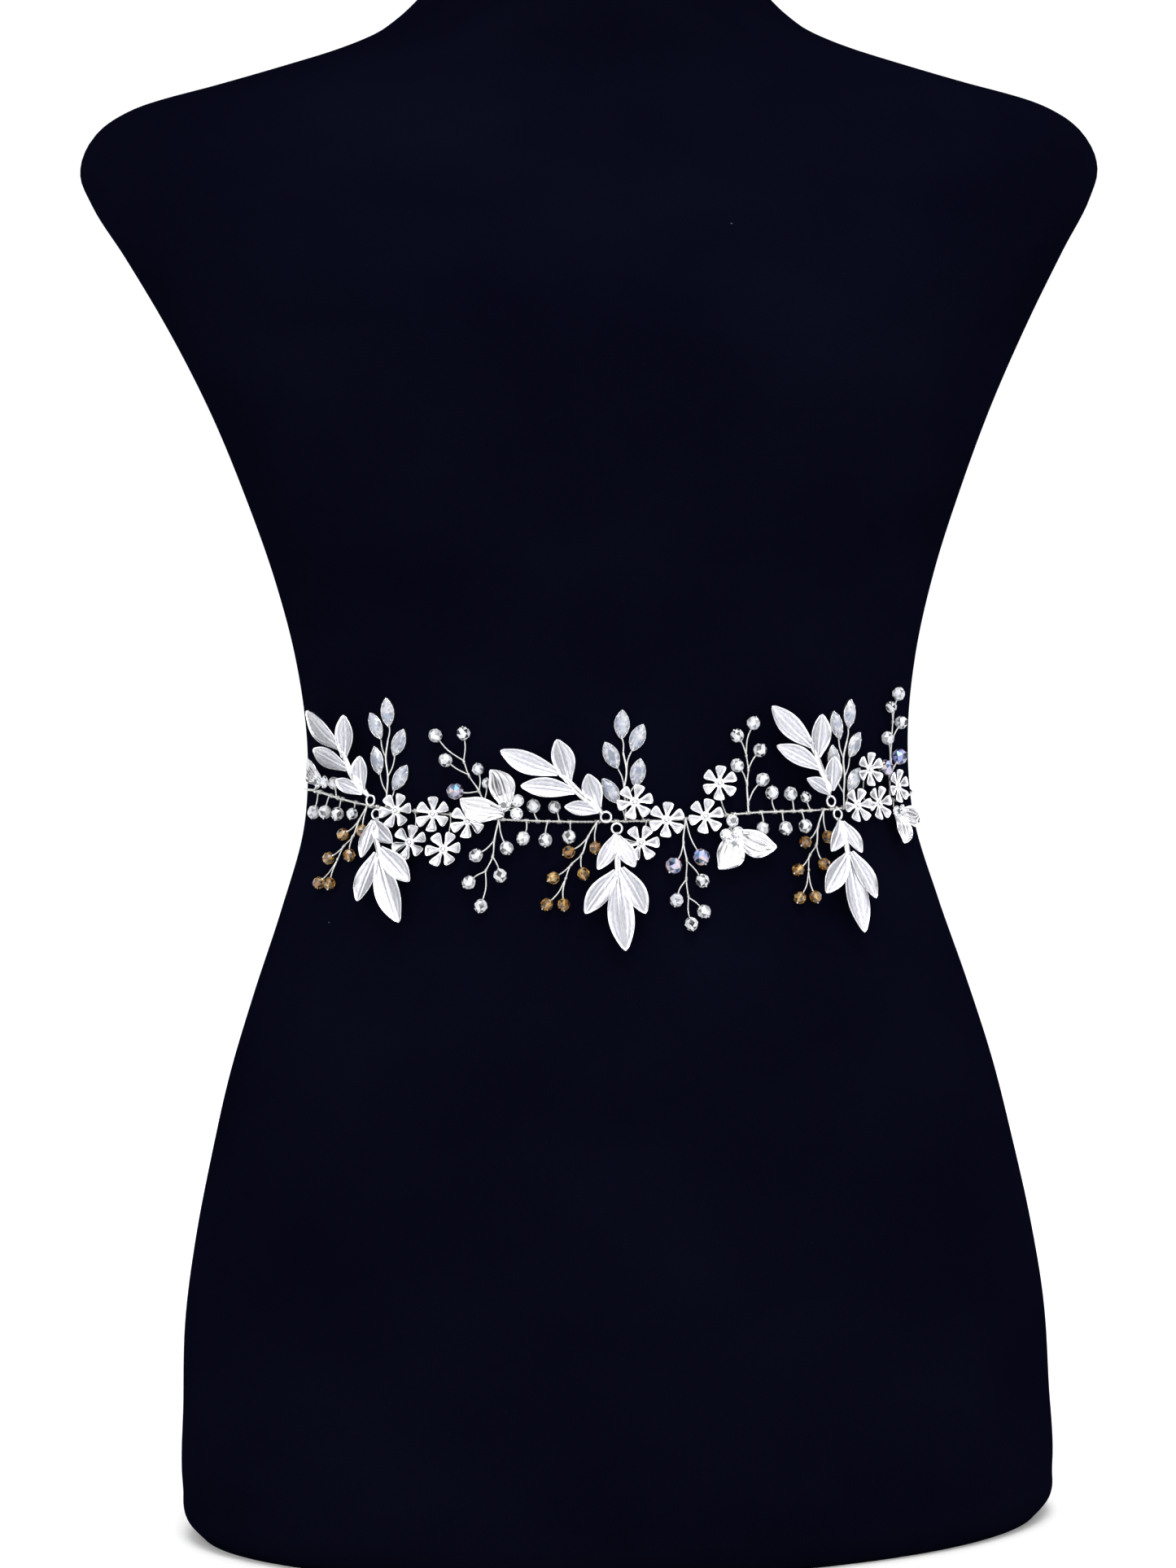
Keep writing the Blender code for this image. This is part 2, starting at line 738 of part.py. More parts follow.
def strip(route, first_h, last_h):
    """Flat ribbon along (s, w) places with a width at each; its edges are level."""
    places = np.array([(p[0], p[1]) for p in route], dtype=float)
    widths = np.array([p[2] for p in route], dtype=float)
    ahead = np.gradient(places, axis=0)
    ahead /= np.linalg.norm(ahead, axis=1, keepdims=True)
    normal = np.stack([-ahead[:, 1], ahead[:, 0]], axis=1) * RIBBON_THICKNESS / 2
    heights = np.linspace(first_h, last_h, len(places))
    rings = []
    for i, place in enumerate(places):
        corners = []
        for side, u in ((1, -1), (1, 1), (-1, 1), (-1, -1)):
            s, w = place + side * normal[i]
            corners.append((s, heights[i] + u * widths[i] / 2, w))
        rings.append(wrap(corners))
    return stacked_rings(rings)


def principled(look):
    """Material with one Principled shader."""
    material = bpy.data.materials.get(look.name)
    if material is None:
        material = bpy.data.materials.new(look.name)
        material.use_nodes = True
        shader = material.node_tree.nodes["Principled BSDF"]
        shader.inputs["Base Color"].default_value = look.colour
        shader.inputs["Roughness"].default_value = look.roughness
        shader.inputs["Metallic"].default_value = look.metallic
        material.diffuse_color = look.colour
    return material


def mesh_object(name, shell, look):
    """Object from one closed shell given in millimetres."""
    points, faces = shell
    mesh = bpy.data.meshes.new(name)
    mesh.from_pydata([tuple(p) for p in np.asarray(points) * MM], [], faces)
    work = bmesh.new()
    work.from_mesh(mesh)
    bmesh.ops.recalc_face_normals(work, faces=work.faces)
    bmesh.ops.triangulate(work, faces=work.faces)
    work.to_mesh(mesh)
    work.free()
    mesh.materials.append(principled(look))
    made = bpy.data.objects.new(name, mesh)
    bpy.context.scene.collection.objects.link(made)
    return made


def fused_object(name, shells, look):
    """One body made of overlapping shells, joined by an exact union."""
    body = mesh_object(name, shells[0], look)
    if len(shells) == 1:
        return body
    parts = bpy.data.collections.new(name + "_parts")
    cutters = []
    for number, shell in enumerate(shells[1:]):
        cutter = mesh_object(f"{name}_part_{number}", shell, look)
        bpy.context.scene.collection.objects.unlink(cutter)
        parts.objects.link(cutter)
        cutters.append(cutter)
    bpy.context.scene.collection.children.link(parts)
    union = body.modifiers.new("join", "BOOLEAN")
    union.operation = "UNION"
    union.operand_type = "COLLECTION"
    union.collection = parts
    union.solver = "EXACT"
    bpy.context.view_layer.update()
    joined = bpy.data.meshes.new_from_object(body.evaluated_get(bpy.context.evaluated_depsgraph_get()))
    body.modifiers.remove(union)
    for cutter in cutters:
        bpy.data.objects.remove(cutter, do_unlink=True)
    bpy.data.collections.remove(parts)
    work = bmesh.new()
    work.from_mesh(joined)
    bmesh.ops.dissolve_limit(work, angle_limit=math.radians(2.5), verts=work.verts, edges=work.edges)
    bmesh.ops.triangulate(work, faces=work.faces)
    work.to_mesh(joined)
    work.free()
    joined.name = name
    body.data = joined
    return body


def spray_lift(distance):
    """How far out a spray stands, from its ring outwards."""
    return WIRE_OUT + SPRAY_LIFT * (1 - math.exp(-distance / SPRAY_LIFT_LENGTH))


def turned(item, point):
    """A pattern point carried to its placement on the flat sash."""
    x = point[0] * item.scale * item.mirror
    y = point[1] * item.scale
    turn = math.radians(item.turn)
    return (
        item.s + x * math.cos(turn) - y * math.sin(turn),
        item.h + x * math.sin(turn) + y * math.cos(turn),
    )


def build_form():
    """The limbless form: one smooth closed solid from neck cap to flat base."""
    angles = 2 * math.pi * np.arange(FORM_COLUMNS) / FORM_COLUMNS
    rings = [skin(angles, np.full_like(angles, z)) for z in FORM_LEVELS]
    form = mesh_object("dress_form", stacked_rings(rings), JERSEY)
    form.data.shade_smooth()
    form.data.set_sharp_from_angle(angle=math.radians(40))


def build_vine():
    """The main wire, with an eyelet at each end for the ribbon."""
    knots = np.array(VINE_ROUTE, dtype=float)
    first, last = knots[0, 0], knots[-1, 0]
    places = np.linspace(first, last, 52)
    route = [(s, vine_height(s), VINE_OUT) for s in places]
    route[0] = (first, route[0][1], EYELET_OUT)
    route[-1] = (last, route[-1][1], EYELET_OUT)
    left = (first - EYELET_RADIUS, route[0][1], EYELET_OUT)
    right = (last + EYELET_RADIUS, route[-1][1], EYELET_OUT)
    shells = [
        tube(route, VINE_RADIUS),
        closed_ring(left, EYELET_RADIUS, EYELET_WIRE, 12, 5),
        closed_ring(right, EYELET_RADIUS, EYELET_WIRE, 12, 5),
    ]
    fused_object("vine_wire", shells, SILVER)


def build_spray(item, leaves, stem):
    """A stamped spray: ring, stem and five cupped leaves in one piece."""
    def lift(place):
        return spray_lift(math.dist(place, (item.s, item.h)))

    route = []
    for point in stem:
        s, h = turned(item, point)
        route.append((s, h, lift((s, h)) - 0.35))
    route[0] = (route[0][0], route[0][1], WIRE_OUT)
    shells = [closed_ring((item.s, item.h, WIRE_OUT), RING_RADIUS, WIRE_RADIUS), tube(route, 0.7)]
    for number, shape in enumerate(leaves):
        base = turned(item, (shape.base_s, shape.base_h))
        tip = turned(item, (shape.tip_s, shape.tip_h))
        nudge = 0.05 * number

        def leaf_lift(place, nudge=nudge):
            return lift(place) + nudge

        shells.append(leaf(Leaf(*base, *tip, shape.width), leaf_lift))
    fused_object(item.name, shells, SILVER)


def branch_start(stem, origin):
    """Place inside the stem, just short of its bend number origin, where a branch begins."""
    bend = np.array(stem[origin])
    other = np.array(stem[1] if origin == 0 else stem[origin - 1])
    return tuple(bend + (other - bend) * 0.7 / np.linalg.norm(other - bend))


def bead_shells(stem, beads, out=WIRE_OUT):
    """Stem wire, branch wires and the beads at their ends."""
    places = [(s, h, out) for s, h in stem]
    shells = [tube(places, WIRE_RADIUS)]
    for item in beads:
        middle = (item.s, item.h, item.radius + GAP)
        shells.append(tube([branch_start(places, item.origin), middle], WIRE_RADIUS * 0.85))
        shells.append(bead(middle, item.radius))
    return shells


def build_topaz(item):
    """Hanging sprig of small brown beads."""
    stem = [turned(item, point) for point in TOPAZ_STEM]
    beads = []
    for shape in TOPAZ_BEADS:
        s, h = turned(item, (shape.s, shape.h))
        beads.append(Bead(s, h, shape.radius, shape.origin))
    fused_object(item.name, bead_shells(stem, beads), TOPAZ)


def build_opal(item):
    """Upright sprig of pointed oval stones."""
    stem = [(*turned(item, point), WIRE_OUT) for point in OPAL_STEM]
    shells = [tube(stem, WIRE_RADIUS)]
    for shape in OPAL_STONES:
        s, h = turned(item, (shape.s, shape.h))
        lean = shape.lean * item.mirror - item.turn
        tilt = math.radians(lean)
        foot = (s - 3.6 * math.sin(tilt), h - 3.6 * math.cos(tilt), 1.6)
        shells.append(tube([branch_start(stem, shape.origin), foot], WIRE_RADIUS * 0.85))
        shells.append(pointed_stone((s, h), lean))
    fused_object(item.name, shells, OPAL)


def build_row(item):
    """Stalked beads above and below a wire that follows the main wire."""
    places = np.linspace(item.start_s, item.end_s, 7)
    shells = [tube([on_vine(s) for s in places], WIRE_RADIUS)]
    for stone in item.beads:
        middle = (stone.s, stone.h, stone.radius + GAP)
        shells.append(tube([on_vine(stone.foot_s), middle], WIRE_RADIUS * 0.85))
        shells.append(bead(middle, stone.radius))
    fused_object(item.name, shells, CRYSTAL)


def build_flower(item):
    """A flower, with its own wire where it stands off the main wire."""
    points, faces = flower(item)
    shells = [(points, boss_faces(faces))]
    if abs(item.h - vine_height(item.s)) >= 2.0:
        start = on_vine(item.wire_s)
        ahead = 2.4 if item.h > start[1] else -2.4
        low = (item.wire_s + (item.s - item.wire_s) * 0.2, start[1] + ahead, VINE_OUT + 0.1)
        shells.append(tube([start, low, (item.s, item.h, VINE_OUT + 0.1)], WIRE_RADIUS))
    fused_object(item.name, shells, SILVER)


def build_cluster(item):
    """Broad leaves and small round stones on a short wire."""
    stem = [(s, h, WIRE_OUT) for s, h in item.stem]
    stem[0] = on_vine(item.stem[0][0])
    shells = [tube(stem, WIRE_RADIUS)]
    for number, shape in enumerate(item.leaves):
        base = (shape.base_s, shape.base_h)

        def lift(place, base=base, number=number):
            return WIRE_OUT + 0.4 + 1.9 * min(1.0, math.dist(place, base) / 5.0) + 0.1 * number

        shells.append(leaf(shape, lift, 1.2))
    for place in item.stones:
        if math.dist(place, item.stem[1]) > 0.6:
            shells.append(tube([branch_start(stem, 1), (*place, WIRE_OUT)], WIRE_RADIUS * 0.85))
        shells.append(round_stone(place, 2.3))
    fused_object(item.name, shells, SILVER)


def ribbon_route(eyelet, side):
    """Ribbon that is threaded through an eyelet, folded back, and led round the waist."""
    fold_out = EYELET_OUT + EYELET_WIRE + GAP + 0.1 + RIBBON_THICKNESS / 2
    route = [
        RibbonPoint(19.0, fold_out, RIBBON_WIDTH - 2.0),
        RibbonPoint(12.0, fold_out, 9.6),
        RibbonPoint(6.5, fold_out, 6.6),
        RibbonPoint(3.0, fold_out, 5.6),
        RibbonPoint(1.3, fold_out - 0.5, 5.4),
        RibbonPoint(0.9, EYELET_OUT, 5.4),
        RibbonPoint(1.3, RIBBON_OUT + 0.5, 5.4),
        RibbonPoint(3.0, RIBBON_OUT, 5.6),
        RibbonPoint(7.5, RIBBON_OUT, 7.0),
        RibbonPoint(13.0, RIBBON_OUT, 10.4),
        RibbonPoint(20.0, RIBBON_OUT, RIBBON_WIDTH),
    ]
    reach = HALF_GIRTH - abs(eyelet) - KNOT_HALF[0] - GAP
    for share in np.linspace(0.22, 1.0, 15):
        width = RIBBON_WIDTH if share < 0.95 else RIBBON_WIDTH - 2.0
        route.append(RibbonPoint(reach * share, RIBBON_OUT, width))
    return [(eyelet + side * p.along, p.out, p.width) for p in route]


def build_ribbon():
    """Two bands of satin, the knot at centre back and the two hanging tails."""
    left_eyelet = VINE_ROUTE[0].s - EYELET_RADIUS
    right_eyelet = VINE_ROUTE[-1].s + EYELET_RADIUS
    left = strip(ribbon_route(left_eyelet, -1), VINE_ROUTE[0].h, 0.0)
    right = strip(ribbon_route(right_eyelet, 1), VINE_ROUTE[-1].h, 0.0)
    mesh_object("ribbon_band_left", left, SATIN)
    mesh_object("ribbon_band_right", right, SATIN)
    build_knot()
    for name, side in (("ribbon_tail_left", -1), ("ribbon_tail_right", 1)):
        build_tail(name, side)


def build_knot():
    """Rounded knot against the back of the form."""
    back = skin(math.pi, WAIST_HEIGHT)
    half_x, half_y, half_z = KNOT_HALF
    middle = back + (0.0, GAP + half_y + 0.9, 0.0)
    rings = []
    for t in np.linspace(-1.0, 1.0, 7):
        size = (1 - abs(t) ** 3.0 * 0.72) ** 0.5
        turn = 2 * math.pi * np.arange(14) / 14
        around_x = np.sign(np.cos(turn)) * np.abs(np.cos(turn)) ** 0.75
        around_z = np.sign(np.sin(turn)) * np.abs(np.sin(turn)) ** 0.75
        ring = np.stack([half_x * size * around_x, np.full(14, t * half_y), half_z * size * around_z], axis=1)
        rings.append(middle + ring)
    mesh_object("ribbon_knot", stacked_rings(rings), SATIN)


def build_tail(name, side):
    """A tail that hangs from under the knot down the back, its end cut on the slant."""
    top_h = -KNOT_HALF[2] - GAP - 0.2
    rows = 16
    length = 185.0
    rings = []
    for i in range(rows + 1):
        t = i / rows
        centre = 7.4 + 13.0 * t ** 1.3
        width = 9.0 + (RIBBON_WIDTH - 9.0) * min(1.0, t * 8)
        out = RIBBON_OUT + 1.2 * math.sin(math.pi * t) * (1 + 0.4 * side)
        corners = []
        for lift, u in ((0.5, -1), (0.5, 1), (-0.5, 1), (-0.5, -1)):
            s = HALF_GIRTH - centre + u * width / 2
            slant = 9.0 * u * t ** 6
            corners.append((side * s, top_h - length * t + slant, out + lift * RIBBON_THICKNESS))
        rings.append(wrap(corners))
    mesh_object(name, stacked_rings(rings), SATIN)


def main():
    """Clear the scene and build the form, the sash and its ribbon."""
    for item in list(bpy.data.objects):
        bpy.data.objects.remove(item, do_unlink=True)
    build_form()
    build_vine()
    for item in UPPER_SPRAYS:
        build_spray(item, UPPER_SPRAY_LEAVES, UPPER_SPRAY_STEM)
    for item in LOWER_SPRAYS:
        build_spray(item, LOWER_SPRAY_LEAVES, LOWER_SPRAY_STEM)
    for item in TOPAZ_SPRIGS:
        build_topaz(item)
    for item in OPAL_SPRIGS:
        build_opal(item)
    for item in CRYSTAL_SPRIGS:
        look = AURORA if item.name.startswith("aurora") else CRYSTAL
        fused_object(item.name, bead_shells(item.stem, item.beads), look)
    for item in BEAD_ROWS:
        build_row(item)
    for item in FLOWERS:
        build_flower(item)
    for item in LEAF_CLUSTERS:
        build_cluster(item)
    build_ribbon()


main()
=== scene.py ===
"""Bridal vine sash on its limbless dress form, dressed for the camera.

The sash is laid out flat and then wrapped round the waist. A place on it is (s, h, w) in
millimetres: s runs along the waist from centre front towards +X, h is the height above
the waist line, and w is how far the place lies out from the form's skin. Meshes are made
in millimetres and written in metres.
"""

import logging
import math
from dataclasses import dataclass, field
from enum import Enum
from typing import Callable, NamedTuple, Sequence

import bmesh
import bpy
import numpy as np
from mathutils import Matrix


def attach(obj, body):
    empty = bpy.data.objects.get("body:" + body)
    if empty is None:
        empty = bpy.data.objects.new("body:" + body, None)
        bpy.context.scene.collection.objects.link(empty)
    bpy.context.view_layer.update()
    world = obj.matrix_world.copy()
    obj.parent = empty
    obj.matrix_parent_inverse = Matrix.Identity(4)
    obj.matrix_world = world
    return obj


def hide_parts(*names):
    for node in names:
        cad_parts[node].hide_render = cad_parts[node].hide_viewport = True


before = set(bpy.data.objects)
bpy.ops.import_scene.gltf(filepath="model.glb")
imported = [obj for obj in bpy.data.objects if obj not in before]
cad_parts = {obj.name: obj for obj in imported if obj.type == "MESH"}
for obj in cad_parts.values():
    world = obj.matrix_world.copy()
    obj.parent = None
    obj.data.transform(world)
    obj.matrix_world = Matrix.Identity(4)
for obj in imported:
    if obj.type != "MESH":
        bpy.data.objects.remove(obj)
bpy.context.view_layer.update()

log = logging.getLogger("sash")

MM = 0.001
BODY = "root"
GAP = 0.3
VINE_OUT = 0.8
WIRE_OUT = 2.05
Array = np.ndarray
Place = Sequence[float]


# ---------------------------------------------------------------- tables


class Section(NamedTuple):
    """One level of the form: height, half width, depth to the front, depth to the back."""

    z: float
    half_width: float
    front: float
    back: float


SECTIONS = (
    Section(0, 171.5, 100, 106),
    Section(6, 177.1, 105, 111),
    Section(19, 179, 107.5, 114),
    Section(53, 178.4, 108, 117),
    Section(86, 177.1, 107, 118),
    Section(120, 172.2, 105, 117),
    Section(153, 165.3, 102, 113),
    Section(187, 157, 98, 105),
    Section(220, 146.5, 93.5, 95),
    Section(254, 134.7, 88, 84),
    Section(287, 125, 83, 75),
    Section(315, 123, 80.5, 71),
    Section(354, 126.9, 84, 74),
    Section(388, 135.1, 92, 81),
    Section(421, 146.1, 103, 90),
    Section(455, 159.4, 111, 98),
    Section(488, 175.3, 109, 104),
    Section(522, 194.4, 91, 107),
    Section(545, 208.2, 72, 107),
    Section(558, 213.1, 59, 105),
    Section(569, 210.9, 50, 102),
    Section(574.5, 207.4, 46, 100),
    Section(580, 201.2, 42.5, 97.5),
    Section(585, 191.2, 40, 95),
    Section(592, 163.8, 39, 91),
    Section(599, 136.7, 39, 87),
    Section(605, 114.1, 40, 83),
    Section(612, 94.5, 41, 79),
    Section(619, 83.1, 42, 76),
    Section(625, 75.8, 43, 73),
    Section(640, 62.8, 46, 67),
    Section(660, 55.3, 47, 62),
    Section(690, 52.3, 47, 60),
)


class WirePoint(NamedTuple):
    """One bend of the main wire."""

    s: float
    h: float


VINE_ROUTE = (
    WirePoint(-184.0, 2.5),
    WirePoint(-160.0, 2.4),
    WirePoint(-134.4, 1.3),
    WirePoint(-119.9, -1.5),
    WirePoint(-105.0, -4.3),
    WirePoint(-74.5, -7.7),
    WirePoint(-48.2, -10.5),
    WirePoint(-20.0, -11.9),
    WirePoint(0.0, -12.0),
    WirePoint(28.0, -11.4),
    WirePoint(47.7, -9.8),
    WirePoint(74.5, -9.3),
    WirePoint(95.7, -8.2),
    WirePoint(125.0, -5.5),
    WirePoint(150.0, -3.0),
    WirePoint(176.0, -1.0),
)


class LeafShape(NamedTuple):
    """One leaf: its base and tip, and its greatest width."""

    base_s: float
    base_h: float
    tip_s: float
    tip_h: float
    width: float


class Placement(NamedTuple):
    """A copy of a sprig: its name, its place, its turn in degrees, scale and mirror."""

    name: str
    s: float
    h: float
    turn: float = 0.0
    scale: float = 1.0
    mirror: int = 1


# Leaf places are measured from the centre of the spray's own ring
UPPER_SPRAY_LEAVES = (
    LeafShape(-17.5, 17.0, -39.1, 26.5, 8.6),
    LeafShape(-13.8, 13.5, -17.9, 30.6, 8.4),
    LeafShape(-11.5, 9.6, -31.6, 12.2, 7.6),
    LeafShape(-2.8, 3.2, -6.7, 16.4, 7.4),
    LeafShape(-2.8, 2.0, -15.4, 3.7, 5.6),
)
UPPER_SPRAY_STEM = ((-1.3, 1.2), (-4.5, 4.4), (-10.2, 9.3), (-13.8, 13.5), (-18.2, 17.6))
LOWER_SPRAY_LEAVES = (
    LeafShape(-0.5, -2.6, -7.3, -16.3, 5.9),
    LeafShape(0.1, -3.2, 5.8, -15.6, 6.2),
    LeafShape(-0.8, -17.0, -11.5, -33.0, 7.6),
    LeafShape(0.9, -15.8, 8.9, -33.4, 7.6),
    LeafShape(-0.3, -18.6, 1.8, -47.4, 8.8),
)
LOWER_SPRAY_STEM = ((0.0, -1.6), (-0.3, -8.0), (-0.2, -16.0), (-0.4, -22.5))
UPPER_SPRAYS = (
    Placement("leaf_spray_upper_left", -102.6, -2.4, -17.0),
    Placement("leaf_spray_upper_centre", -7.6, -10.4, 0.0),
    Placement("leaf_spray_upper_right", 84.2, -6.0, -20.0),
)
LOWER_SPRAYS = (
    Placement("leaf_spray_lower_left", -99.4, -7.9, 23.0),
    Placement("leaf_spray_lower_centre", -3.6, -14.9, 0.0),
    Placement("leaf_spray_lower_right", 86.7, -11.2, -7.0),
)


class Bead(NamedTuple):
    """A bead at the end of its wire, which leaves the stem at stem point number origin."""

    s: float
    h: float
    radius: float
    origin: int


TOPAZ_STEM = ((0.0, 0.0), (-3.6, -6.2), (-5.9, -12.9), (-9.7, -16.8), (-11.6, -22.3))
TOPAZ_BEADS = (
    Bead(-10.6, -11.8, 2.55, 1),
    Bead(-0.8, -10.4, 2.55, 0),
    Bead(-15.9, -21.7, 2.55, 3),
    Bead(-5.1, -20.3, 2.55, 2),
    Bead(-17.7, -31.8, 2.55, 4),
    Bead(-11.8, -31.9, 2.55, 4),
)
TOPAZ_SPRIGS = (
    Placement("topaz_sprig_left", -104.0, -4.5, 0.0, 0.97),
    Placement("topaz_sprig_centre", -10.9, -11.9, 0.0, 1.0),
    Placement("topaz_sprig_right", 80.2, -9.1, 2.0, 1.06),
)


class OpalPlace(NamedTuple):
    """A pointed oval stone: its middle, how far it leans, and its stem point."""

    s: float
    h: float
    lean: float
    origin: int


OPAL_STEM = ((0.0, 0.0), (0.0, 5.5), (0.3, 12.0), (-0.6, 19.5), (0.6, 26.5))
OPAL_STONES = (
    OpalPlace(1.0, 37.5, -2.0, 4),
    OpalPlace(-5.0, 32.3, -23.0, 3),
    OpalPlace(5.2, 25.5, 25.0, 2),
    OpalPlace(-5.0, 18.6, -12.0, 1),
    OpalPlace(5.6, 11.6, 32.0, 0),
)
OPAL_SPRIGS = (
    Placement("opal_sprig_left", -95.0, -5.3),
    Placement("opal_sprig_centre", -0.2, -12.0, -0.6, 1.0, -1),
    Placement("opal_sprig_right", 90.3, -8.4, -6.0),
)


class SprigShape(NamedTuple):
    """A wire sprig of round beads: its name, its stem from the main wire, its beads."""

    name: str
    stem: tuple
    beads: tuple


CRYSTAL_SPRIGS = (
    SprigShape(
        "crystal_sprig_up_left",
        ((-52.9, -10.1), (-54.4, -4.0), (-56.3, 0.4), (-60.5, 6.9), (-62.4, 12.4)),
        (
            Bead(-73.3, 22.6, 2.75, 4),
            Bead(-61.9, 23.2, 2.75, 4),
            Bead(-69.4, 12.8, 2.75, 3),
            Bead(-56.6, 9.0, 2.4, 2),
            Bead(-65.3, 0.4, 3.3, 2),
            Bead(-53.2, 3.4, 2.1, 1),
        ),
    ),
    SprigShape(
        "crystal_sprig_down_left",
        ((-48.3, -10.5), (-49.6, -18.7), (-49.7, -25.0), (-51.8, -30.6)),
        (
            Bead(-55.8, -24.6, 2.75, 1),
            Bead(-44.5, -21.9, 2.75, 0),
            Bead(-46.0, -32.4, 2.75, 2),
            Bead(-57.3, -35.0, 2.75, 3),
            Bead(-51.9, -44.0, 2.75, 3),
        ),
    ),
    SprigShape(
        "aurora_sprig_down",
        ((22.7, -11.6), (21.2, -21.0), (21.9, -27.9), (21.1, -35.0), (21.3, -41.9)),
        (
            Bead(16.6, -29.9, 3.3, 1),
            Bead(27.2, -26.8, 3.3, 0),
            Bead(26.8, -35.8, 2.75, 2),
            Bead(16.8, -43.0, 2.75, 3),
            Bead(26.2, -47.6, 2.75, 4),
            Bead(21.3, -52.2, 2.75, 4),
        ),
    ),
    SprigShape(
        "crystal_sprig_up_right",
        ((47.7, -9.8), (47.8, -6.1), (47.9, 1.4), (48.7, 7.2), (48.0, 13.0)),
        (
            Bead(50.7, 25.3, 2.75, 4),
            Bead(44.1, 20.5, 2.75, 4),
            Bead(53.4, 14.6, 2.75, 3),
            Bead(43.9, 8.7, 2.75, 2),
            Bead(54.1, 2.9, 2.75, 1),
        ),
    ),
    SprigShape(
        "crystal_sprig_up_side",
        ((117.2, -6.2), (118.5, 2.0), (119.8, 10.0), (121.0, 18.0), (121.6, 26.0)),
        (
            Bead(122.9, 37.0, 2.75, 4),
            Bead(118.6, 31.6, 2.4, 4),
            Bead(126.9, 25.4, 2.75, 3),
            Bead(116.6, 19.0, 2.75, 2),
            Bead(124.6, 11.4, 3.3, 1),
            Bead(114.0, 7.0, 3.3, 1),
        ),
    ),
)


class RowBead(NamedTuple):
    """A bead on a short stalk: where the stalk leaves the row's wire, and its end."""

    foot_s: float
    s: float
    h: float
    radius: float


class RowShape(NamedTuple):
    """A row of stalked beads on a wire that runs along the main wire."""

    name: str
    start_s: float
    end_s: float
    beads: tuple


BEAD_ROWS = (
    RowShape(
        "bead_row_left",
        -136.0,
        -108.5,
        (
            RowBead(-134.0, -134.6, -7.0, 2.75),
            RowBead(-125.6, -126.3, -7.0, 2.75),
            RowBead(-118.2, -118.6, -7.7, 2.75),
            RowBead(-110.4, -110.8, -7.7, 2.4),
            RowBead(-121.0, -121.9, 4.6, 2.5),
        ),
    ),
    RowShape(
        "bead_row_centre",
        -45.2,
        -13.0,
        (
            RowBead(-37.6, -38.6, -18.2, 2.75),
            RowBead(-29.6, -30.2, -19.0, 2.75),
            RowBead(-21.2, -21.4, -17.9, 2.75),
            RowBead(-33.4, -35.0, -5.8, 2.75),
            RowBead(-25.2, -27.0, -6.3, 2.5),
        ),
    ),
    RowShape(
        "bead_row_right",
        50.6,
        76.4,
        (
            RowBead(53.0, 52.5, -16.2, 2.75),
            RowBead(61.8, 62.0, -16.3, 2.75),
            RowBead(70.2, 70.4, -15.6, 2.75),
            RowBead(58.8, 57.7, -2.3, 2.75),
            RowBead(66.8, 65.6, -2.8, 2.75),
            RowBead(74.2, 72.4, -4.2, 2.2),
        ),
    ),
)


class FlowerPlace(NamedTuple):
    """A stamped flower: its middle, its level, and where its own wire reaches the vine."""

    name: str
    s: float
    h: float
    level: float
    turn: float
    wire_s: float


LOW, HIGH = 2.15, 3.6
FLOWERS = (
    FlowerPlace("flower_left_1", -89.6, -6.8, HIGH, 8.0, -89.6),
    FlowerPlace("flower_left_2", -74.5, -8.3, LOW, 30.0, -74.5),
    FlowerPlace("flower_left_3", -82.4, -19.4, HIGH, 20.0, -82.2),
    FlowerPlace("flower_left_4", -69.0, -22.0, LOW, 5.0, -67.3),
    FlowerPlace("flower_left_5", -60.2, -11.0, LOW, 27.0, -60.2),
    FlowerPlace("flower_centre_1", 3.3, -5.0, HIGH, 12.0, 6.5),
    FlowerPlace("flower_centre_2", 15.3, -12.0, LOW, 22.0, 15.3),
    FlowerPlace("flower_centre_3", 5.2, -20.8, LOW, 2.0, 7.9),
    FlowerPlace("flower_centre_4", 30.4, -10.9, LOW, 14.0, 30.4),
    FlowerPlace("flower_centre_5", 36.2, 1.8, HIGH, 24.0, 38.8),
    FlowerPlace("flower_right_1", 95.9, -8.0, HIGH, 6.0, 95.9),
    FlowerPlace("flower_right_2", 104.2, 6.4, HIGH, 25.0, 102.0),
    FlowerPlace("flower_right_3", 109.6, -7.2, LOW, 10.0, 109.6),
    FlowerPlace("flower_right_4", 121.8, -0.6, HIGH, 18.0, 123.2),
)


class ClusterShape(NamedTuple):
    """Broad curled leaves with small round stones, on a short wire from the vine."""

    name: str
    stem: tuple
    leaves: tuple
    stones: tuple


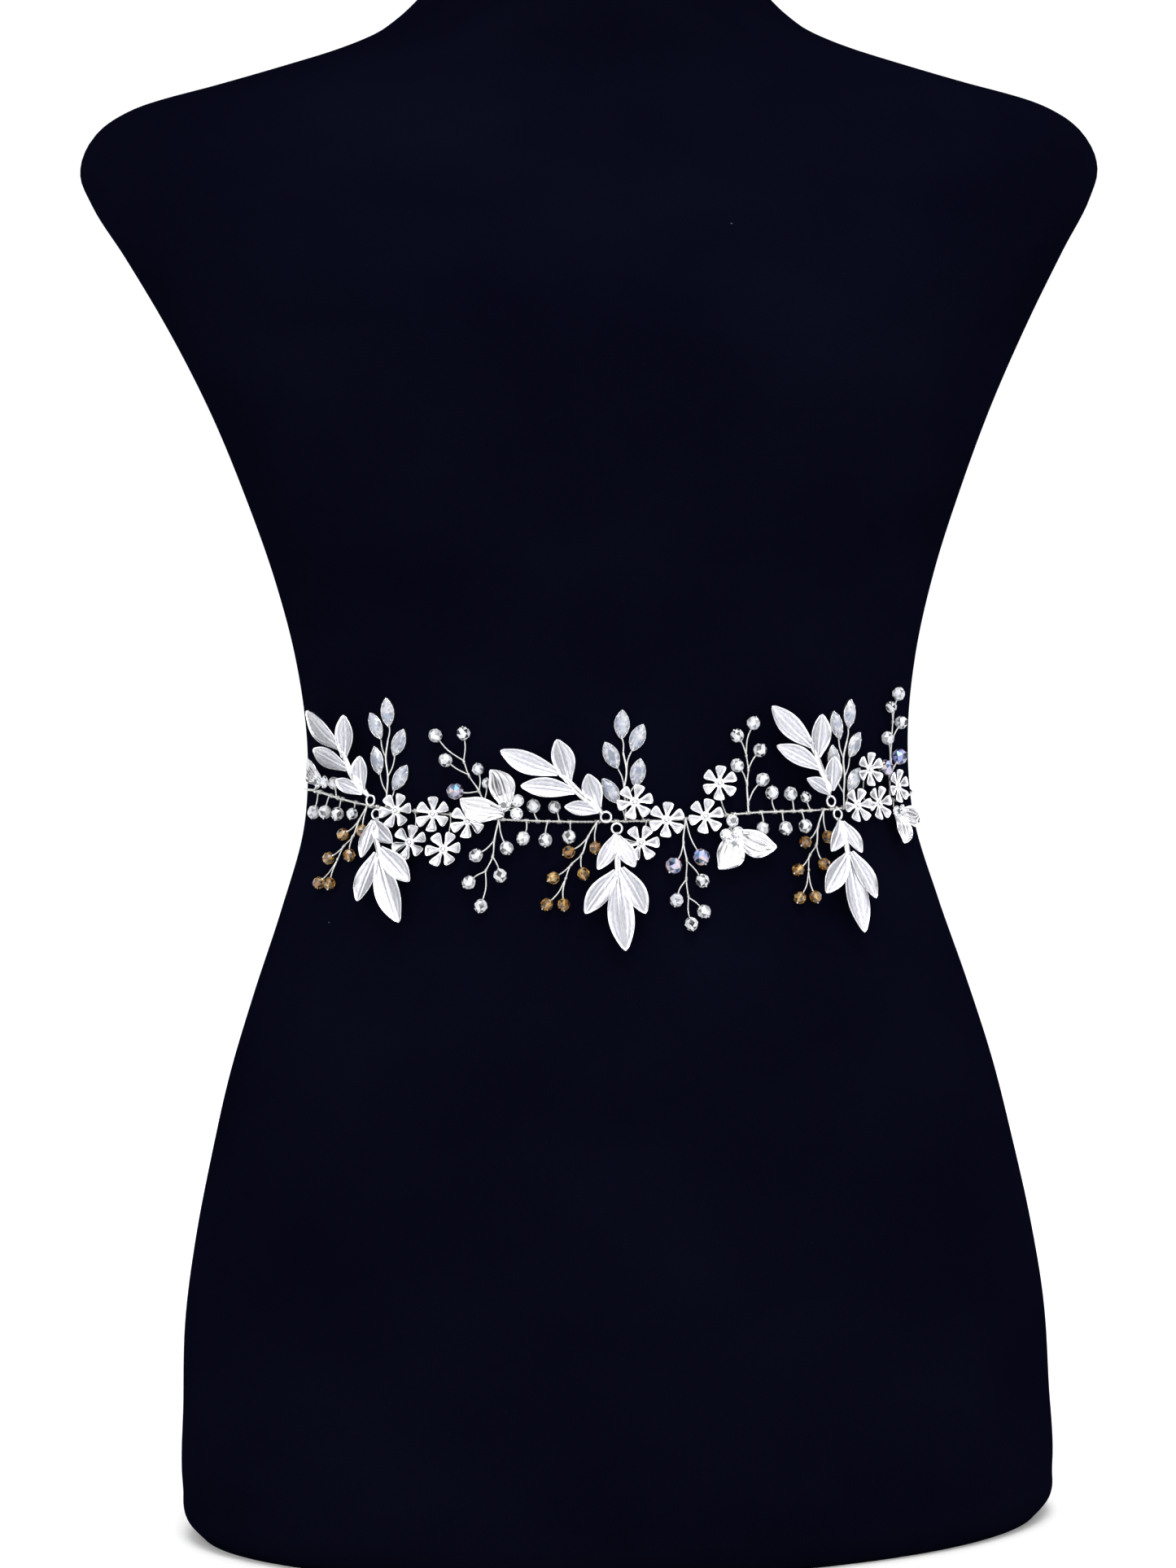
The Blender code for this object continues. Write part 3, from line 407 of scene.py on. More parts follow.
LEAF_CLUSTERS = (
    ClusterShape(
        "leaf_cluster_side_left",
        ((-138.6, 1.9), (-132.0, 5.2)),
        (LeafShape(-130.0, 4.6, -138.5, 14.0, 9.0),),
        ((-132.6, 5.2), (-127.6, 5.2)),
    ),
    ClusterShape(
        "leaf_cluster_left",
        ((-46.9, -10.6), (-45.6, -6.4), (-42.0, -6.0)),
        (LeafShape(-46.3, -8.2, -63.0, -4.6, 9.6), LeafShape(-45.2, -6.2, -49.2, 9.0, 9.8)),
        ((-46.1, -5.4), (-41.0, -3.6), (-41.3, -8.7)),
    ),
    ClusterShape(
        "leaf_cluster_right",
        ((42.0, -10.9), (40.2, -14.5), (40.4, -18.4)),
        (LeafShape(40.2, -17.9, 34.4, -32.6, 10.2), LeafShape(40.6, -17.5, 54.9, -25.6, 10.6)),
        ((40.6, -12.9), (37.6, -18.4), (42.4, -17.6), (39.9, -22.0)),
    ),
    ClusterShape(
        "leaf_cluster_side_right",
        ((119.4, -6.0), (119.6, -11.6), (123.4, -11.4)),
        (LeafShape(119.4, -11.2, 117.9, -24.6, 9.6), LeafShape(122.0, -11.0, 133.4, -14.4, 9.0)),
        ((119.2, -11.0), (123.8, -10.6)),
    ),
)


# ---------------------------------------------------------------- the form's skin


def smooth(knots: Array, values: Array, x: Array) -> Array:
    """Read a smooth curve through (knots, values) at x.

    Each span is a cubic whose end slopes are the weighted mean of the two spans beside
    the knot.

    Args:
        knots: rising places of the known values.
        values: the known values.
        x: where to read the curve.

    Returns:
        The curve's values at x.
    """
    knots = np.asarray(knots, dtype=float)
    values = np.asarray(values, dtype=float)
    x = np.clip(x, knots[0], knots[-1])
    step = np.diff(knots)
    slope = np.diff(values) / step
    tangent = np.empty_like(values)
    tangent[0], tangent[-1] = slope[0], slope[-1]
    tangent[1:-1] = (slope[:-1] * step[1:] + slope[1:] * step[:-1]) / (step[:-1] + step[1:])
    i = np.clip(np.searchsorted(knots, x, side="right") - 1, 0, len(knots) - 2)
    t = (x - knots[i]) / step[i]
    start = (1 + 2 * t) * (1 - t) ** 2 * values[i] + t * (1 - t) ** 2 * step[i] * tangent[i]
    end = t * t * (3 - 2 * t) * values[i + 1] + t * t * (t - 1) * step[i] * tangent[i + 1]
    return start + end


def unit(vectors: Array) -> Array:
    """Vectors scaled to length one along their last axis."""
    return vectors / np.maximum(np.linalg.norm(vectors, axis=-1, keepdims=True), 1e-12)


@dataclass
class FormSkin:
    """The form's skin, and how the flat sash is wrapped round its waist.

    Attributes:
        waist_height: height of the waist line, mm.
        back_shift: how far the whole skin is moved to the front, mm.
    """

    waist_height: float = 300.0
    back_shift: float = 3.5
    table: Array = field(default_factory=lambda: np.array(SECTIONS, dtype=float))

    def __post_init__(self) -> None:
        """Measure the waist line once."""
        self.angles = np.linspace(-math.pi, math.pi, 3601)
        line = self.skin(self.angles, np.full_like(self.angles, self.waist_height))
        steps = np.linalg.norm(np.diff(line, axis=0), axis=1)
        self.half_girth = float(steps.sum() / 2)
        self.arc = np.concatenate([[0.0], np.cumsum(steps)]) - self.half_girth

    def skin(self, angle: Array, z: Array) -> Array:
        """Points of the skin: x = width sin(angle), y runs from front to back depth by cos.

        Args:
            angle: radians from centre front, positive towards +X.
            z: heights in mm.

        Returns:
            Points in mm, last axis x, y, z.
        """
        z = np.asarray(z, dtype=float)
        width, front, back = (smooth(self.table[:, 0], self.table[:, i], z) for i in (1, 2, 3))
        x = width * np.sin(angle)
        y = (back - front) / 2 - (back + front) / 2 * np.cos(angle) - self.back_shift
        return np.stack([x, y, z + 0 * x], axis=-1)

    def normal(self, angle: Array, z: Array) -> Array:
        """Outward directions of the skin, from its slopes along both parameters."""
        across = self.skin(angle + 0.001, z) - self.skin(angle - 0.001, z)
        upward = self.skin(angle, z + 0.5) - self.skin(angle, z - 0.5)
        return unit(np.cross(across, upward))

    def wrap(self, places: Array) -> Array:
        """Carry (s, h, w) places on the flat sash to x, y, z on the form, in mm."""
        places = np.asarray(places, dtype=float)
        angle = np.interp(places[..., 0], self.arc, self.angles)
        z = self.waist_height + places[..., 1]
        return self.skin(angle, z) + self.normal(angle, z) * places[..., 2:3]

    def axes(self, place: Place) -> tuple[Array, Array, Array, Array]:
        """Middle point and the along, up and outward directions at a place."""
        s, h, w = place
        spots = self.wrap([(s, h, w), (s + 0.1, h, w), (s, h, w + 1)])
        outward = unit(spots[2] - spots[0])
        along = spots[1] - spots[0]
        along = unit(along - outward * np.dot(along, outward))
        return spots[0], along, np.cross(outward, along), outward


SKIN = FormSkin()


def vine_height(s: Array) -> Array:
    """Height of the main wire at s."""
    route = np.array(VINE_ROUTE, dtype=float)
    return smooth(route[:, 0], route[:, 1], s)


def on_vine(s: float, out: float = WIRE_OUT) -> tuple[float, float, float]:
    """A place in front of the main wire, where a sprig is bound to it."""
    return (s, float(vine_height(s)), out)


def turned(item: Placement, point: Place) -> tuple[float, float]:
    """A pattern point carried to its placement on the flat sash."""
    x, y = point[0] * item.scale * item.mirror, point[1] * item.scale
    cos, sin = math.cos(math.radians(item.turn)), math.sin(math.radians(item.turn))
    return (item.s + x * cos - y * sin, item.h + x * sin + y * cos)


# ---------------------------------------------------------------- shells


@dataclass
class Shell:
    """One closed surface.

    Attributes:
        points: vertices, mm.
        faces: arrays of vertex numbers, one array for each face size.
        uv: a place on the material for each vertex, mm.
        relief: 0 in hollows to 1 on a raised rim, for each vertex; the silver finishes turn low relief into painted
            shade.
        smooth: True where the surface is rounded, False where it is cut in facets.
    """

    points: Array
    faces: list[Array]
    uv: Array
    relief: Array
    smooth: bool = True


def grid_quads(rows: int, columns: int, start: int = 0, ring: bool = False) -> Array:
    """Quads of a grid of rows x columns vertices, closed across the columns for a ring."""
    i = np.arange(rows - 1)[:, None]
    j = np.arange(columns if ring else columns - 1)[None, :]
    a = start + i * columns + j
    b = start + i * columns + (j + 1) % columns
    return np.stack([a, b, b + columns, a + columns], axis=-1).reshape(-1, 4)


def plate(top: Array, under: Array, uv: Array, relief: Array) -> Shell:
    """Closed plate between two grids of one size, joined round their border.

    Args:
        top: points of the upper side, rows x columns x 3.
        under: points of the lower side.
        uv: rows x columns x 2, used for both sides.
        relief: rows x columns.

    Returns:
        The plate's shell.
    """
    rows, columns = top.shape[:2]
    count = rows * columns
    numbers = np.arange(count).reshape(rows, columns)
    border = np.concatenate([numbers[0, :-1], numbers[:-1, -1], numbers[-1, :0:-1], numbers[:0:-1, 0]])
    after = np.roll(border, -1)
    sides = np.stack([border, border + count, after + count, after], axis=-1)
    faces = [grid_quads(rows, columns), grid_quads(rows, columns, count)[:, ::-1], sides]
    points = np.concatenate([top.reshape(-1, 3), under.reshape(-1, 3)])
    flat = uv.reshape(-1, 2)
    both = np.concatenate([relief.ravel(), np.full(count, 0.35)])
    return Shell(points, faces, np.concatenate([flat, flat]), both)


def tube(middles: Array, first: Array, second: Array, radius: Array, sides: int = 8, closed: bool = False) -> Shell:
    """Round bar: at each middle point a circle radius (cos a first + sin a second).

    Args:
        middles: n x 3 points of its centre line.
        first: n x 3 unit directions across it.
        second: n x 3 unit directions across it, square to first.
        radius: one radius, or n of them.
        sides: points round the circle.
        closed: True where the last circle joins the first.

    Returns:
        The bar's shell, with its ends closed.
    """
    count = len(middles)
    radius = np.broadcast_to(np.asarray(radius, dtype=float), (count,))
    turn = 2 * math.pi * np.arange(sides) / sides
    circle = np.cos(turn)[None, :, None] * first[:, None] + np.sin(turn)[None, :, None] * second[:, None]
    points = middles[:, None] + radius[:, None, None] * circle
    faces = [grid_quads(count, sides, ring=True)]
    ring = np.arange(sides)
    last = (count - 1) * sides
    if closed:
        faces.append(np.stack([last + ring, last + np.roll(ring, -1), np.roll(ring, -1), ring], axis=-1))
    else:
        faces.append(ring[None, ::-1])
        faces.append(last + ring[None, :])
    length = np.concatenate([[0.0], np.cumsum(np.linalg.norm(np.diff(middles, axis=0), axis=1))])
    uv = np.stack(np.broadcast_arrays(turn[None, :] * radius[:, None], length[:, None]), axis=-1)
    return Shell(points.reshape(-1, 3), faces, uv.reshape(-1, 2), np.full(count * sides, 0.8))


def faceted(rings: Sequence[Array], flat_ends: bool = True) -> Shell:
    """Cut stone from rings of points of one count: each band is triangles, each end a flat."""
    count = len(rings[0])
    here = np.arange(count)
    there = np.roll(here, -1)
    triangles = []
    for level in range(len(rings) - 1):
        low, high = level * count, (level + 1) * count
        shift = here if level % 2 == 0 else there
        other = there if level % 2 == 0 else np.roll(here, -2)
        triangles.append(np.stack([low + here, low + there, high + shift], axis=-1))
        triangles.append(np.stack([low + there, high + other, high + shift], axis=-1))
    last = (len(rings) - 1) * count
    faces = [np.concatenate(triangles), here[None, ::-1], last + here[None, :]]
    points = np.concatenate(rings)
    return Shell(points, faces, points[:, :2].copy(), np.full(len(points), 0.5), smooth=not flat_ends)


def dome(middle: Array, axes: tuple[Array, Array, Array], radius: float, rows: int = 7, sides: int = 12) -> Shell:
    """Small ball: circles of radius sin(a) at height cos(a) along the third axis."""
    rise = np.linspace(0.12, math.pi - 0.12, rows)
    middles = middle + radius * np.cos(rise)[:, None] * axes[2]
    first = np.broadcast_to(axes[0], (rows, 3))
    second = np.broadcast_to(axes[1], (rows, 3))
    return tube(middles, first, second, radius * np.sin(rise), sides)


def torus(middle: Array, axes: tuple[Array, Array, Array], radius: float, wire: float, around: int = 28) -> Shell:
    """Closed wire ring that lies in the plane of the first two axes."""
    turn = 2 * math.pi * np.arange(around) / around
    spoke = np.outer(np.cos(turn), axes[0]) + np.outer(np.sin(turn), axes[1])
    third = np.broadcast_to(axes[2], spoke.shape)
    return tube(middle + radius * spoke, spoke, third, wire, 8, closed=True)


class WirePath:
    """Smooth line through places on the flat sash, carried onto the form."""

    def __init__(self, places: Sequence[Place], step: float = 0.3) -> None:
        """Lay the line and find its directions.

        The line is a cubic curve through the places by their running distance. Up is the
        skin's outward direction made square to the line, and side is across both.

        Args:
            places: (s, h, w) places in order.
            step: distance between the line's own points, mm.
        """
        knots = np.asarray(places, dtype=float)
        run = np.concatenate([[0.0], np.cumsum(np.linalg.norm(np.diff(knots, axis=0), axis=1))])
        dense = np.linspace(0.0, run[-1], max(6, int(run[-1] / step) + 2))
        flat = np.stack([smooth(run, knots[:, i], dense) for i in range(3)], axis=-1)
        self.middles = SKIN.wrap(flat)
        outward = unit(SKIN.wrap(flat + (0.0, 0.0, 1.0)) - self.middles)
        self.ahead = unit(np.gradient(self.middles, axis=0))
        self.up = unit(outward - self.ahead * np.sum(outward * self.ahead, axis=1, keepdims=True))
        self.side = np.cross(self.ahead, self.up)
        steps = np.linalg.norm(np.diff(self.middles, axis=0), axis=1)
        self.lengths = np.concatenate([[0.0], np.cumsum(steps)])

    @property
    def length(self) -> float:
        """Length of the line in mm."""
        return float(self.lengths[-1])

    def read(self, values: Array, at: Array) -> Array:
        """Values of the line's points read at distances along it."""
        return np.stack([np.interp(at, self.lengths, values[:, i]) for i in range(3)], axis=-1)

    def bar(self, radius: Array, sides: int = 8) -> Shell:
        """Plain round bar along the line; radius is one number or one for each point."""
        return tube(self.middles, self.side, self.up, radius, sides)


@dataclass(frozen=True)
class Twist:
    """Fine wire wound round a line.

    Attributes:
        strand: radius of one strand, mm.
        offset: how far a strand's middle is from the line, mm.
        pitch: length of one turn, mm.
        strands: how many strands share the turn.
        sides: points round a strand.
        per_turn: points along one turn.
    """

    strand: float = 0.27
    offset: float = 0.25
    pitch: float = 2.2
    strands: int = 2
    sides: int = 6
    per_turn: int = 9

    def wind(self, path: WirePath, start: float = 0.0, end: float | None = None) -> list[Shell]:
        """Wind the strands along part of a line.

        A strand's middle is line + offset (cos a side + sin a up), where a grows by one
        full turn for each pitch of length.

        Args:
            path: the line to follow.
            start: distance along it where the winding begins, mm.
            end: where it ends, or None for the line's end.

        Returns:
            One shell for each strand.
        """
        end = path.length if end is None else min(end, path.length)
        count = max(4, int((end - start) / self.pitch * self.per_turn) + 2)
        at = np.linspace(max(0.0, start), end, count)
        middles, side, up = (path.read(values, at) for values in (path.middles, path.side, path.up))
        shells = []
        for k in range(self.strands):
            turn = 2 * math.pi * (at / self.pitch + k / self.strands)
            spoke = np.cos(turn)[:, None] * side + np.sin(turn)[:, None] * up
            line = middles + self.offset * spoke
            ahead = unit(np.gradient(line, axis=0))
            first = unit(spoke - ahead * np.sum(spoke * ahead, axis=1, keepdims=True))
            shells.append(tube(line, first, np.cross(ahead, first), self.strand, self.sides))
        return shells


MAIN_TWIST = Twist(0.26, 0.26, 2.7)
STALK_TWIST = Twist(0.175, 0.165, 1.7, sides=5, per_turn=7)
BINDING = Twist(0.19, 0.82, 0.46, strands=1, sides=5, per_turn=10)


# ---------------------------------------------------------------- finishes


class Slot(Enum):
    """Material slots of the record."""

    FORM = "form_cloth"
    SILVER = "silver"
    CRYSTAL = "crystal"
    AURORA = "aurora"
    TOPAZ = "topaz"
    OPAL = "opal"
    SATIN = "satin"


class Tree:
    """Adds and joins the nodes of one node tree."""

    def __init__(self, tree: bpy.types.NodeTree) -> None:
        """Keep the tree and clear it."""
        self.tree = tree
        tree.nodes.clear()

    def add(self, kind: str, inputs: dict | None = None, **settings: object) -> bpy.types.Node:
        """Add one node.

        Args:
            kind: the node's type name.
            inputs: socket name or number to a value, or to an output socket to join.
            **settings: the node's own properties.

        Returns:
            The node.
        """
        node = self.tree.nodes.new(kind)
        for key, value in settings.items():
            setattr(node, key, value)
        for key, value in (inputs or {}).items():
            if isinstance(value, bpy.types.NodeSocket):
                self.tree.links.new(value, node.inputs[key])
            else:
                node.inputs[key].default_value = value
        return node

    def value(self, operation: str, first: object, second: object = 0.0, third: object = 0.0) -> bpy.types.NodeSocket:
        """Output of one Math node."""
        node = self.add("ShaderNodeMath", {0: first, 1: second, 2: third}, operation=operation)
        return node.outputs[0]

    def spread(self, value: object, low: float, high: float, to_low: float, to_high: float) -> bpy.types.NodeSocket:
        """Value carried from the range low..high to the range to_low..to_high, and held there."""
        sizes = {"Value": value, "From Min": low, "From Max": high, "To Min": to_low, "To Max": to_high}
        return self.add("ShaderNodeMapRange", sizes).outputs["Result"]

    def blend(self, share: object, first: object, second: object) -> bpy.types.NodeSocket:
        """Colour between first and second."""
        return self.add("ShaderNodeMix", {0: share, 6: first, 7: second}, data_type="RGBA").outputs[2]


def new_group(name: str, inputs: dict[str, tuple], outputs: Sequence[str]) -> tuple[bpy.types.NodeTree, Tree, bpy.types.Node]:
    """Start a shader node group.

    Args:
        name: the group's name.
        inputs: input name to (socket type, default value).
        outputs: names of its number outputs.

    Returns:
        The group, the tree helper on it, and its input node.
    """
    group = bpy.data.node_groups.new(name, "ShaderNodeTree")
    tree = Tree(group)
    for label, (kind, default) in inputs.items():
        socket = group.interface.new_socket(name=label, in_out="INPUT", socket_type=kind)
        if kind == "NodeSocketFloat":
            socket.default_value = default
    for label in outputs:
        group.interface.new_socket(name=label, in_out="OUTPUT", socket_type="NodeSocketFloat")
    return group, tree, tree.add("NodeGroupInput")


def grain_group() -> bpy.types.NodeTree:
    """Stretched grain: fine noise read along a vector whose second part is squeezed."""
    group, tree, given = new_group(
        "stretched_grain",
        {
            "Vector": ("NodeSocketVector", None),
            "Scale": ("NodeSocketFloat", 5.0),
            "Stretch": ("NodeSocketFloat", 1.0),
            "Detail": ("NodeSocketFloat", 4.0),
        },
        ["Grain"],
    )
    factors = tree.add("ShaderNodeCombineXYZ", {"X": 1.0, "Y": given.outputs["Stretch"], "Z": 1.0})
    squeezed = tree.add(
        "ShaderNodeVectorMath", {0: given.outputs["Vector"], 1: factors.outputs[0]}, operation="MULTIPLY"
    )
    noise = tree.add(
        "ShaderNodeTexNoise",
        {"Vector": squeezed.outputs[0], "Scale": given.outputs["Scale"], "Detail": given.outputs["Detail"]},
    )
    tree.add("NodeGroupOutput", {"Grain": noise.outputs[0]})
    return group


def thread_group() -> bpy.types.NodeTree:
    """Threads: the product of two waves, the second one slanted back and forth."""
    group, tree, given = new_group(
        "thread_pattern",
        {
            "Vector": ("NodeSocketVector", None),
            "Across": ("NodeSocketFloat", 2.0),
            "Along": ("NodeSocketFloat", 2.0),
            "Slant": ("NodeSocketFloat", 0.0),
        },
        ["Height"],
    )
    parts = tree.add("ShaderNodeSeparateXYZ", {0: given.outputs["Vector"]})
    column = tree.value("MULTIPLY", parts.outputs[0], given.outputs["Across"])
    fold = tree.value("MULTIPLY", tree.value("PINGPONG", column, 0.5), given.outputs["Slant"])
    course = tree.value("ADD", tree.value("MULTIPLY", parts.outputs[1], given.outputs["Along"]), fold)
    wave_a = tree.value("SINE", tree.value("MULTIPLY", column, 2 * math.pi))
    wave_b = tree.value("SINE", tree.value("MULTIPLY", course, 2 * math.pi))
    height = tree.value("MULTIPLY_ADD", tree.value("ABSOLUTE", wave_a), tree.value("ABSOLUTE", wave_b), 0.0)
    tree.add("NodeGroupOutput", {"Height": height})
    return group


def polish_and_shade_group() -> bpy.types.NodeTree:
    """Mask for the silver: polished and clear of shade where the relief is high; frosted in the hollows, where it
    takes painted shade with some tarnish; grain breaks it up.
    """
    group, tree, given = new_group(
        "polish_by_relief",
        {
            "Relief": ("NodeSocketFloat", 0.5),
            "Grain": ("NodeSocketFloat", 0.5),
            "Uneven": ("NodeSocketFloat", 0.3),
        },
        ["Polish"],
    )
    offset = tree.value("MULTIPLY", tree.value("SUBTRACT", given.outputs["Grain"], 0.5), given.outputs["Uneven"])
    total = tree.value("ADD", given.outputs["Relief"], offset)
    tree.add("NodeGroupOutput", {"Polish": tree.spread(total, 0.15, 0.9, 0.0, 1.0)})
    return group


def facet_group() -> bpy.types.NodeTree:
    """Light of a facet: low for the share of the facets whose number is under Deep."""
    group, tree, given = new_group(
        "facet_light", {"Facet": ("NodeSocketFloat", 0.5), "Deep": ("NodeSocketFloat", 0.4)}, ["Light"]
    )
    over = tree.value("SUBTRACT", given.outputs["Facet"], given.outputs["Deep"])
    tree.add("NodeGroupOutput", {"Light": tree.spread(over, -0.24, 0.06, 0.02, 1.0)})
    return group


class Effects:
    """The shared node groups, each made once."""

    made: dict[str, bpy.types.NodeTree] = {}
    makers: dict[str, Callable[[], bpy.types.NodeTree]] = {
        "grain": grain_group,
        "thread": thread_group,
        "polish": polish_and_shade_group,
        "facet": facet_group,
    }

    @classmethod
    def use(cls, tree: Tree, name: str, inputs: dict) -> bpy.types.NodeSocket:
        """Place a shared group in a material and give its first output."""
        if name not in cls.made:
            cls.made[name] = cls.makers[name]()
        node = tree.add("ShaderNodeGroup", node_tree=cls.made[name])
        for key, value in inputs.items():
            if isinstance(value, bpy.types.NodeSocket):
                tree.tree.links.new(value, node.inputs[key])
            else:
                node.inputs[key].default_value = value
        return node.outputs[0]


@dataclass(frozen=True)
class Finish:
    """What every finish has: a name and the record's slot."""

    name: str
    slot: Slot | None

    def start(self) -> tuple[bpy.types.Material, Tree, bpy.types.Node]:
        """New material with its shader joined to the output."""
        material = bpy.data.materials.new(self.name)
        material.use_nodes = True
        tree = Tree(material.node_tree)
        shader = tree.add("ShaderNodeBsdfPrincipled")
        tree.add("ShaderNodeOutputMaterial", {"Surface": shader.outputs["BSDF"]})
        return material, tree, shader

    def material(self) -> bpy.types.Material:
        """The finish's material, made the first time it is asked for."""
        found = bpy.data.materials.get(self.name)
        return found if found else self.make()

    def make(self) -> bpy.types.Material:
        """Build the material; each kind of finish has its own way."""
        raise NotImplementedError


@dataclass(frozen=True)
class MetalFinish(Finish):
    """Silver-plated metal.

    Attributes:
        bright: colour of the silver on the raised parts.
        hollow_shade: darker colour in the hollows, painted shade with some tarnish.
        rough_bright: roughness of the raised parts.
        rough_hollow: roughness of the frosted parts.
        grain_scale: grain per mm.
        stretch: how much the grain is drawn out along the piece.
        uneven: how much the grain breaks up the polished rims and the painted shade.
        bump: depth of the grain, mm.
    """

    bright: tuple = (0.88, 0.88, 0.90, 1.0)
    hollow_shade: tuple = (0.36, 0.36, 0.42, 1.0)
    rough_bright: float = 0.24
    rough_hollow: float = 0.42
    grain_scale: float = 2.2
    stretch: float = 0.25
    uneven: float = 0.9
    bump: float = 0.06

    def make(self) -> bpy.types.Material:
        """Mix the silver colour and the darker colour of the hollows, painted shade, by relief and grain, and press
        the grain into the surface.
        """
        material, tree, shader = self.start()
        lay = tree.add("ShaderNodeUVMap", uv_map="lay").outputs["UV"]
        relief = tree.add("ShaderNodeAttribute", attribute_name="relief").outputs["Fac"]
        grain = Effects.use(
            tree, "grain", {"Vector": lay, "Scale": self.grain_scale, "Stretch": self.stretch, "Detail": 5.0}
        )
        polish = Effects.use(tree, "polish", {"Relief": relief, "Grain": grain, "Uneven": self.uneven})
        # Painted shade: low relief blends in the darker colour of the hollows; it is partly tarnish.
        tree.tree.links.new(tree.blend(polish, self.hollow_shade, self.bright), shader.inputs["Base Color"])
        rough = tree.spread(polish, 0.0, 1.0, self.rough_hollow, self.rough_bright)
        tree.tree.links.new(rough, shader.inputs["Roughness"])
        shader.inputs["Metallic"].default_value = 1.0
        bump = tree.add("ShaderNodeBump", {"Height": grain, "Strength": 0.5, "Distance": self.bump * MM})
        tree.tree.links.new(bump.outputs["Normal"], shader.inputs["Normal"])
        return material


@dataclass(frozen=True)
class GlassFinish(Finish):
    """Cut glass.

    Attributes:
        tint: main colour of the glass.
        second: colour that it turns to in places.
        clear: share of light that passes through.
        deep: share of the facets painted dark, as painted shade.
        film: thickness of a rainbow coating in nanometres, 0 for none.
        patches: size of the colour patches, per metre.
    """

    tint: tuple = (0.96, 0.97, 1.0, 1.0)
    second: tuple = (0.85, 0.88, 0.95, 1.0)
    clear: float = 0.5
    deep: float = 0.38
    film: float = 0.0
    patches: float = 260.0

    def make(self) -> bpy.types.Material:
        """Vary the tint in soft patches, paint some facets near black as painted shade beside the bright ones as
        painted highlight, and scratch the surface finely.
        """
        material, tree, shader = self.start()
        place = tree.add("ShaderNodeTexCoord").outputs["Object"]
        patch = Effects.use(tree, "grain", {"Vector": place, "Scale": self.patches, "Detail": 1.0})
        share = tree.spread(patch, 0.4, 0.6, 0.0, 1.0)
        # Painted light: a share of the facets is painted near black and the rest keep the bright tint, standing in for
        # facets that mirror dark and bright surroundings.
        facet = tree.add("ShaderNodeAttribute", attribute_name="facet").outputs["Fac"]
        lit = Effects.use(tree, "facet", {"Facet": facet, "Deep": self.deep})
        body = tree.blend(share, self.tint, self.second)
        tree.tree.links.new(tree.blend(lit, (0.02, 0.02, 0.02, 1.0), body), shader.inputs["Base Color"])
        fine = Effects.use(tree, "grain", {"Vector": place, "Scale": 2400.0, "Detail": 3.0})
        tree.tree.links.new(tree.spread(fine, 0.35, 0.75, 0.015, 0.07), shader.inputs["Roughness"])
        shader.inputs["IOR"].default_value = 1.62
        shader.inputs["Transmission Weight"].default_value = self.clear
        if self.film:
            shader.inputs["Thin Film Thickness"].default_value = self.film
            shader.inputs["Thin Film IOR"].default_value = 1.9
        return material


@dataclass(frozen=True)
class OpalFinish(Finish):
    """Milky stone with a faint play of colour.

    Attributes:
        milk: main colour.
        blue: colour of the cooler clouds.
        warm: colour of the warmer clouds.
    """

    milk: tuple = (0.43, 0.44, 0.48, 1.0)
    blue: tuple = (0.27, 0.30, 0.38, 1.0)
    warm: tuple = (0.66, 0.63, 0.62, 1.0)

    def make(self) -> bpy.types.Material:
        """Clouds of two tints in milk, with some facets painted darker as painted shade, under a clear polished face.
        """
        material, tree, shader = self.start()
        place = tree.add("ShaderNodeTexCoord").outputs["Object"]
        cloud = Effects.use(tree, "grain", {"Vector": place, "Scale": 230.0, "Detail": 3.0})
        cool = tree.blend(tree.spread(cloud, 0.42, 0.62, 0.0, 1.0), self.milk, self.blue)
        glow = Effects.use(tree, "grain", {"Vector": place, "Scale": 420.0, "Detail": 2.0})
        both = tree.blend(tree.spread(glow, 0.52, 0.72, 0.0, 0.8), cool, self.warm)
        # Painted shade: a share of the facets is darkened towards a grey-blue, so the rest read as painted highlights.
        facet = tree.add("ShaderNodeAttribute", attribute_name="facet").outputs["Fac"]
        lit = tree.spread(Effects.use(tree, "facet", {"Facet": facet, "Deep": 0.45}), 0.0, 1.0, 0.45, 1.0)
        tree.tree.links.new(tree.blend(lit, (0.10, 0.11, 0.14, 1.0), both), shader.inputs["Base Color"])
        tree.tree.links.new(tree.spread(glow, 0.3, 0.7, 0.06, 0.16), shader.inputs["Roughness"])
        shader.inputs["IOR"].default_value = 1.5
        shader.inputs["Subsurface Weight"].default_value = 0.2
        shader.inputs["Subsurface Radius"].default_value = (0.002, 0.0022, 0.003)
        shader.inputs["Subsurface Scale"].default_value = 0.4
        shader.inputs["Coat Weight"].default_value = 0.6
        shader.inputs["Coat Roughness"].default_value = 0.04
        return material


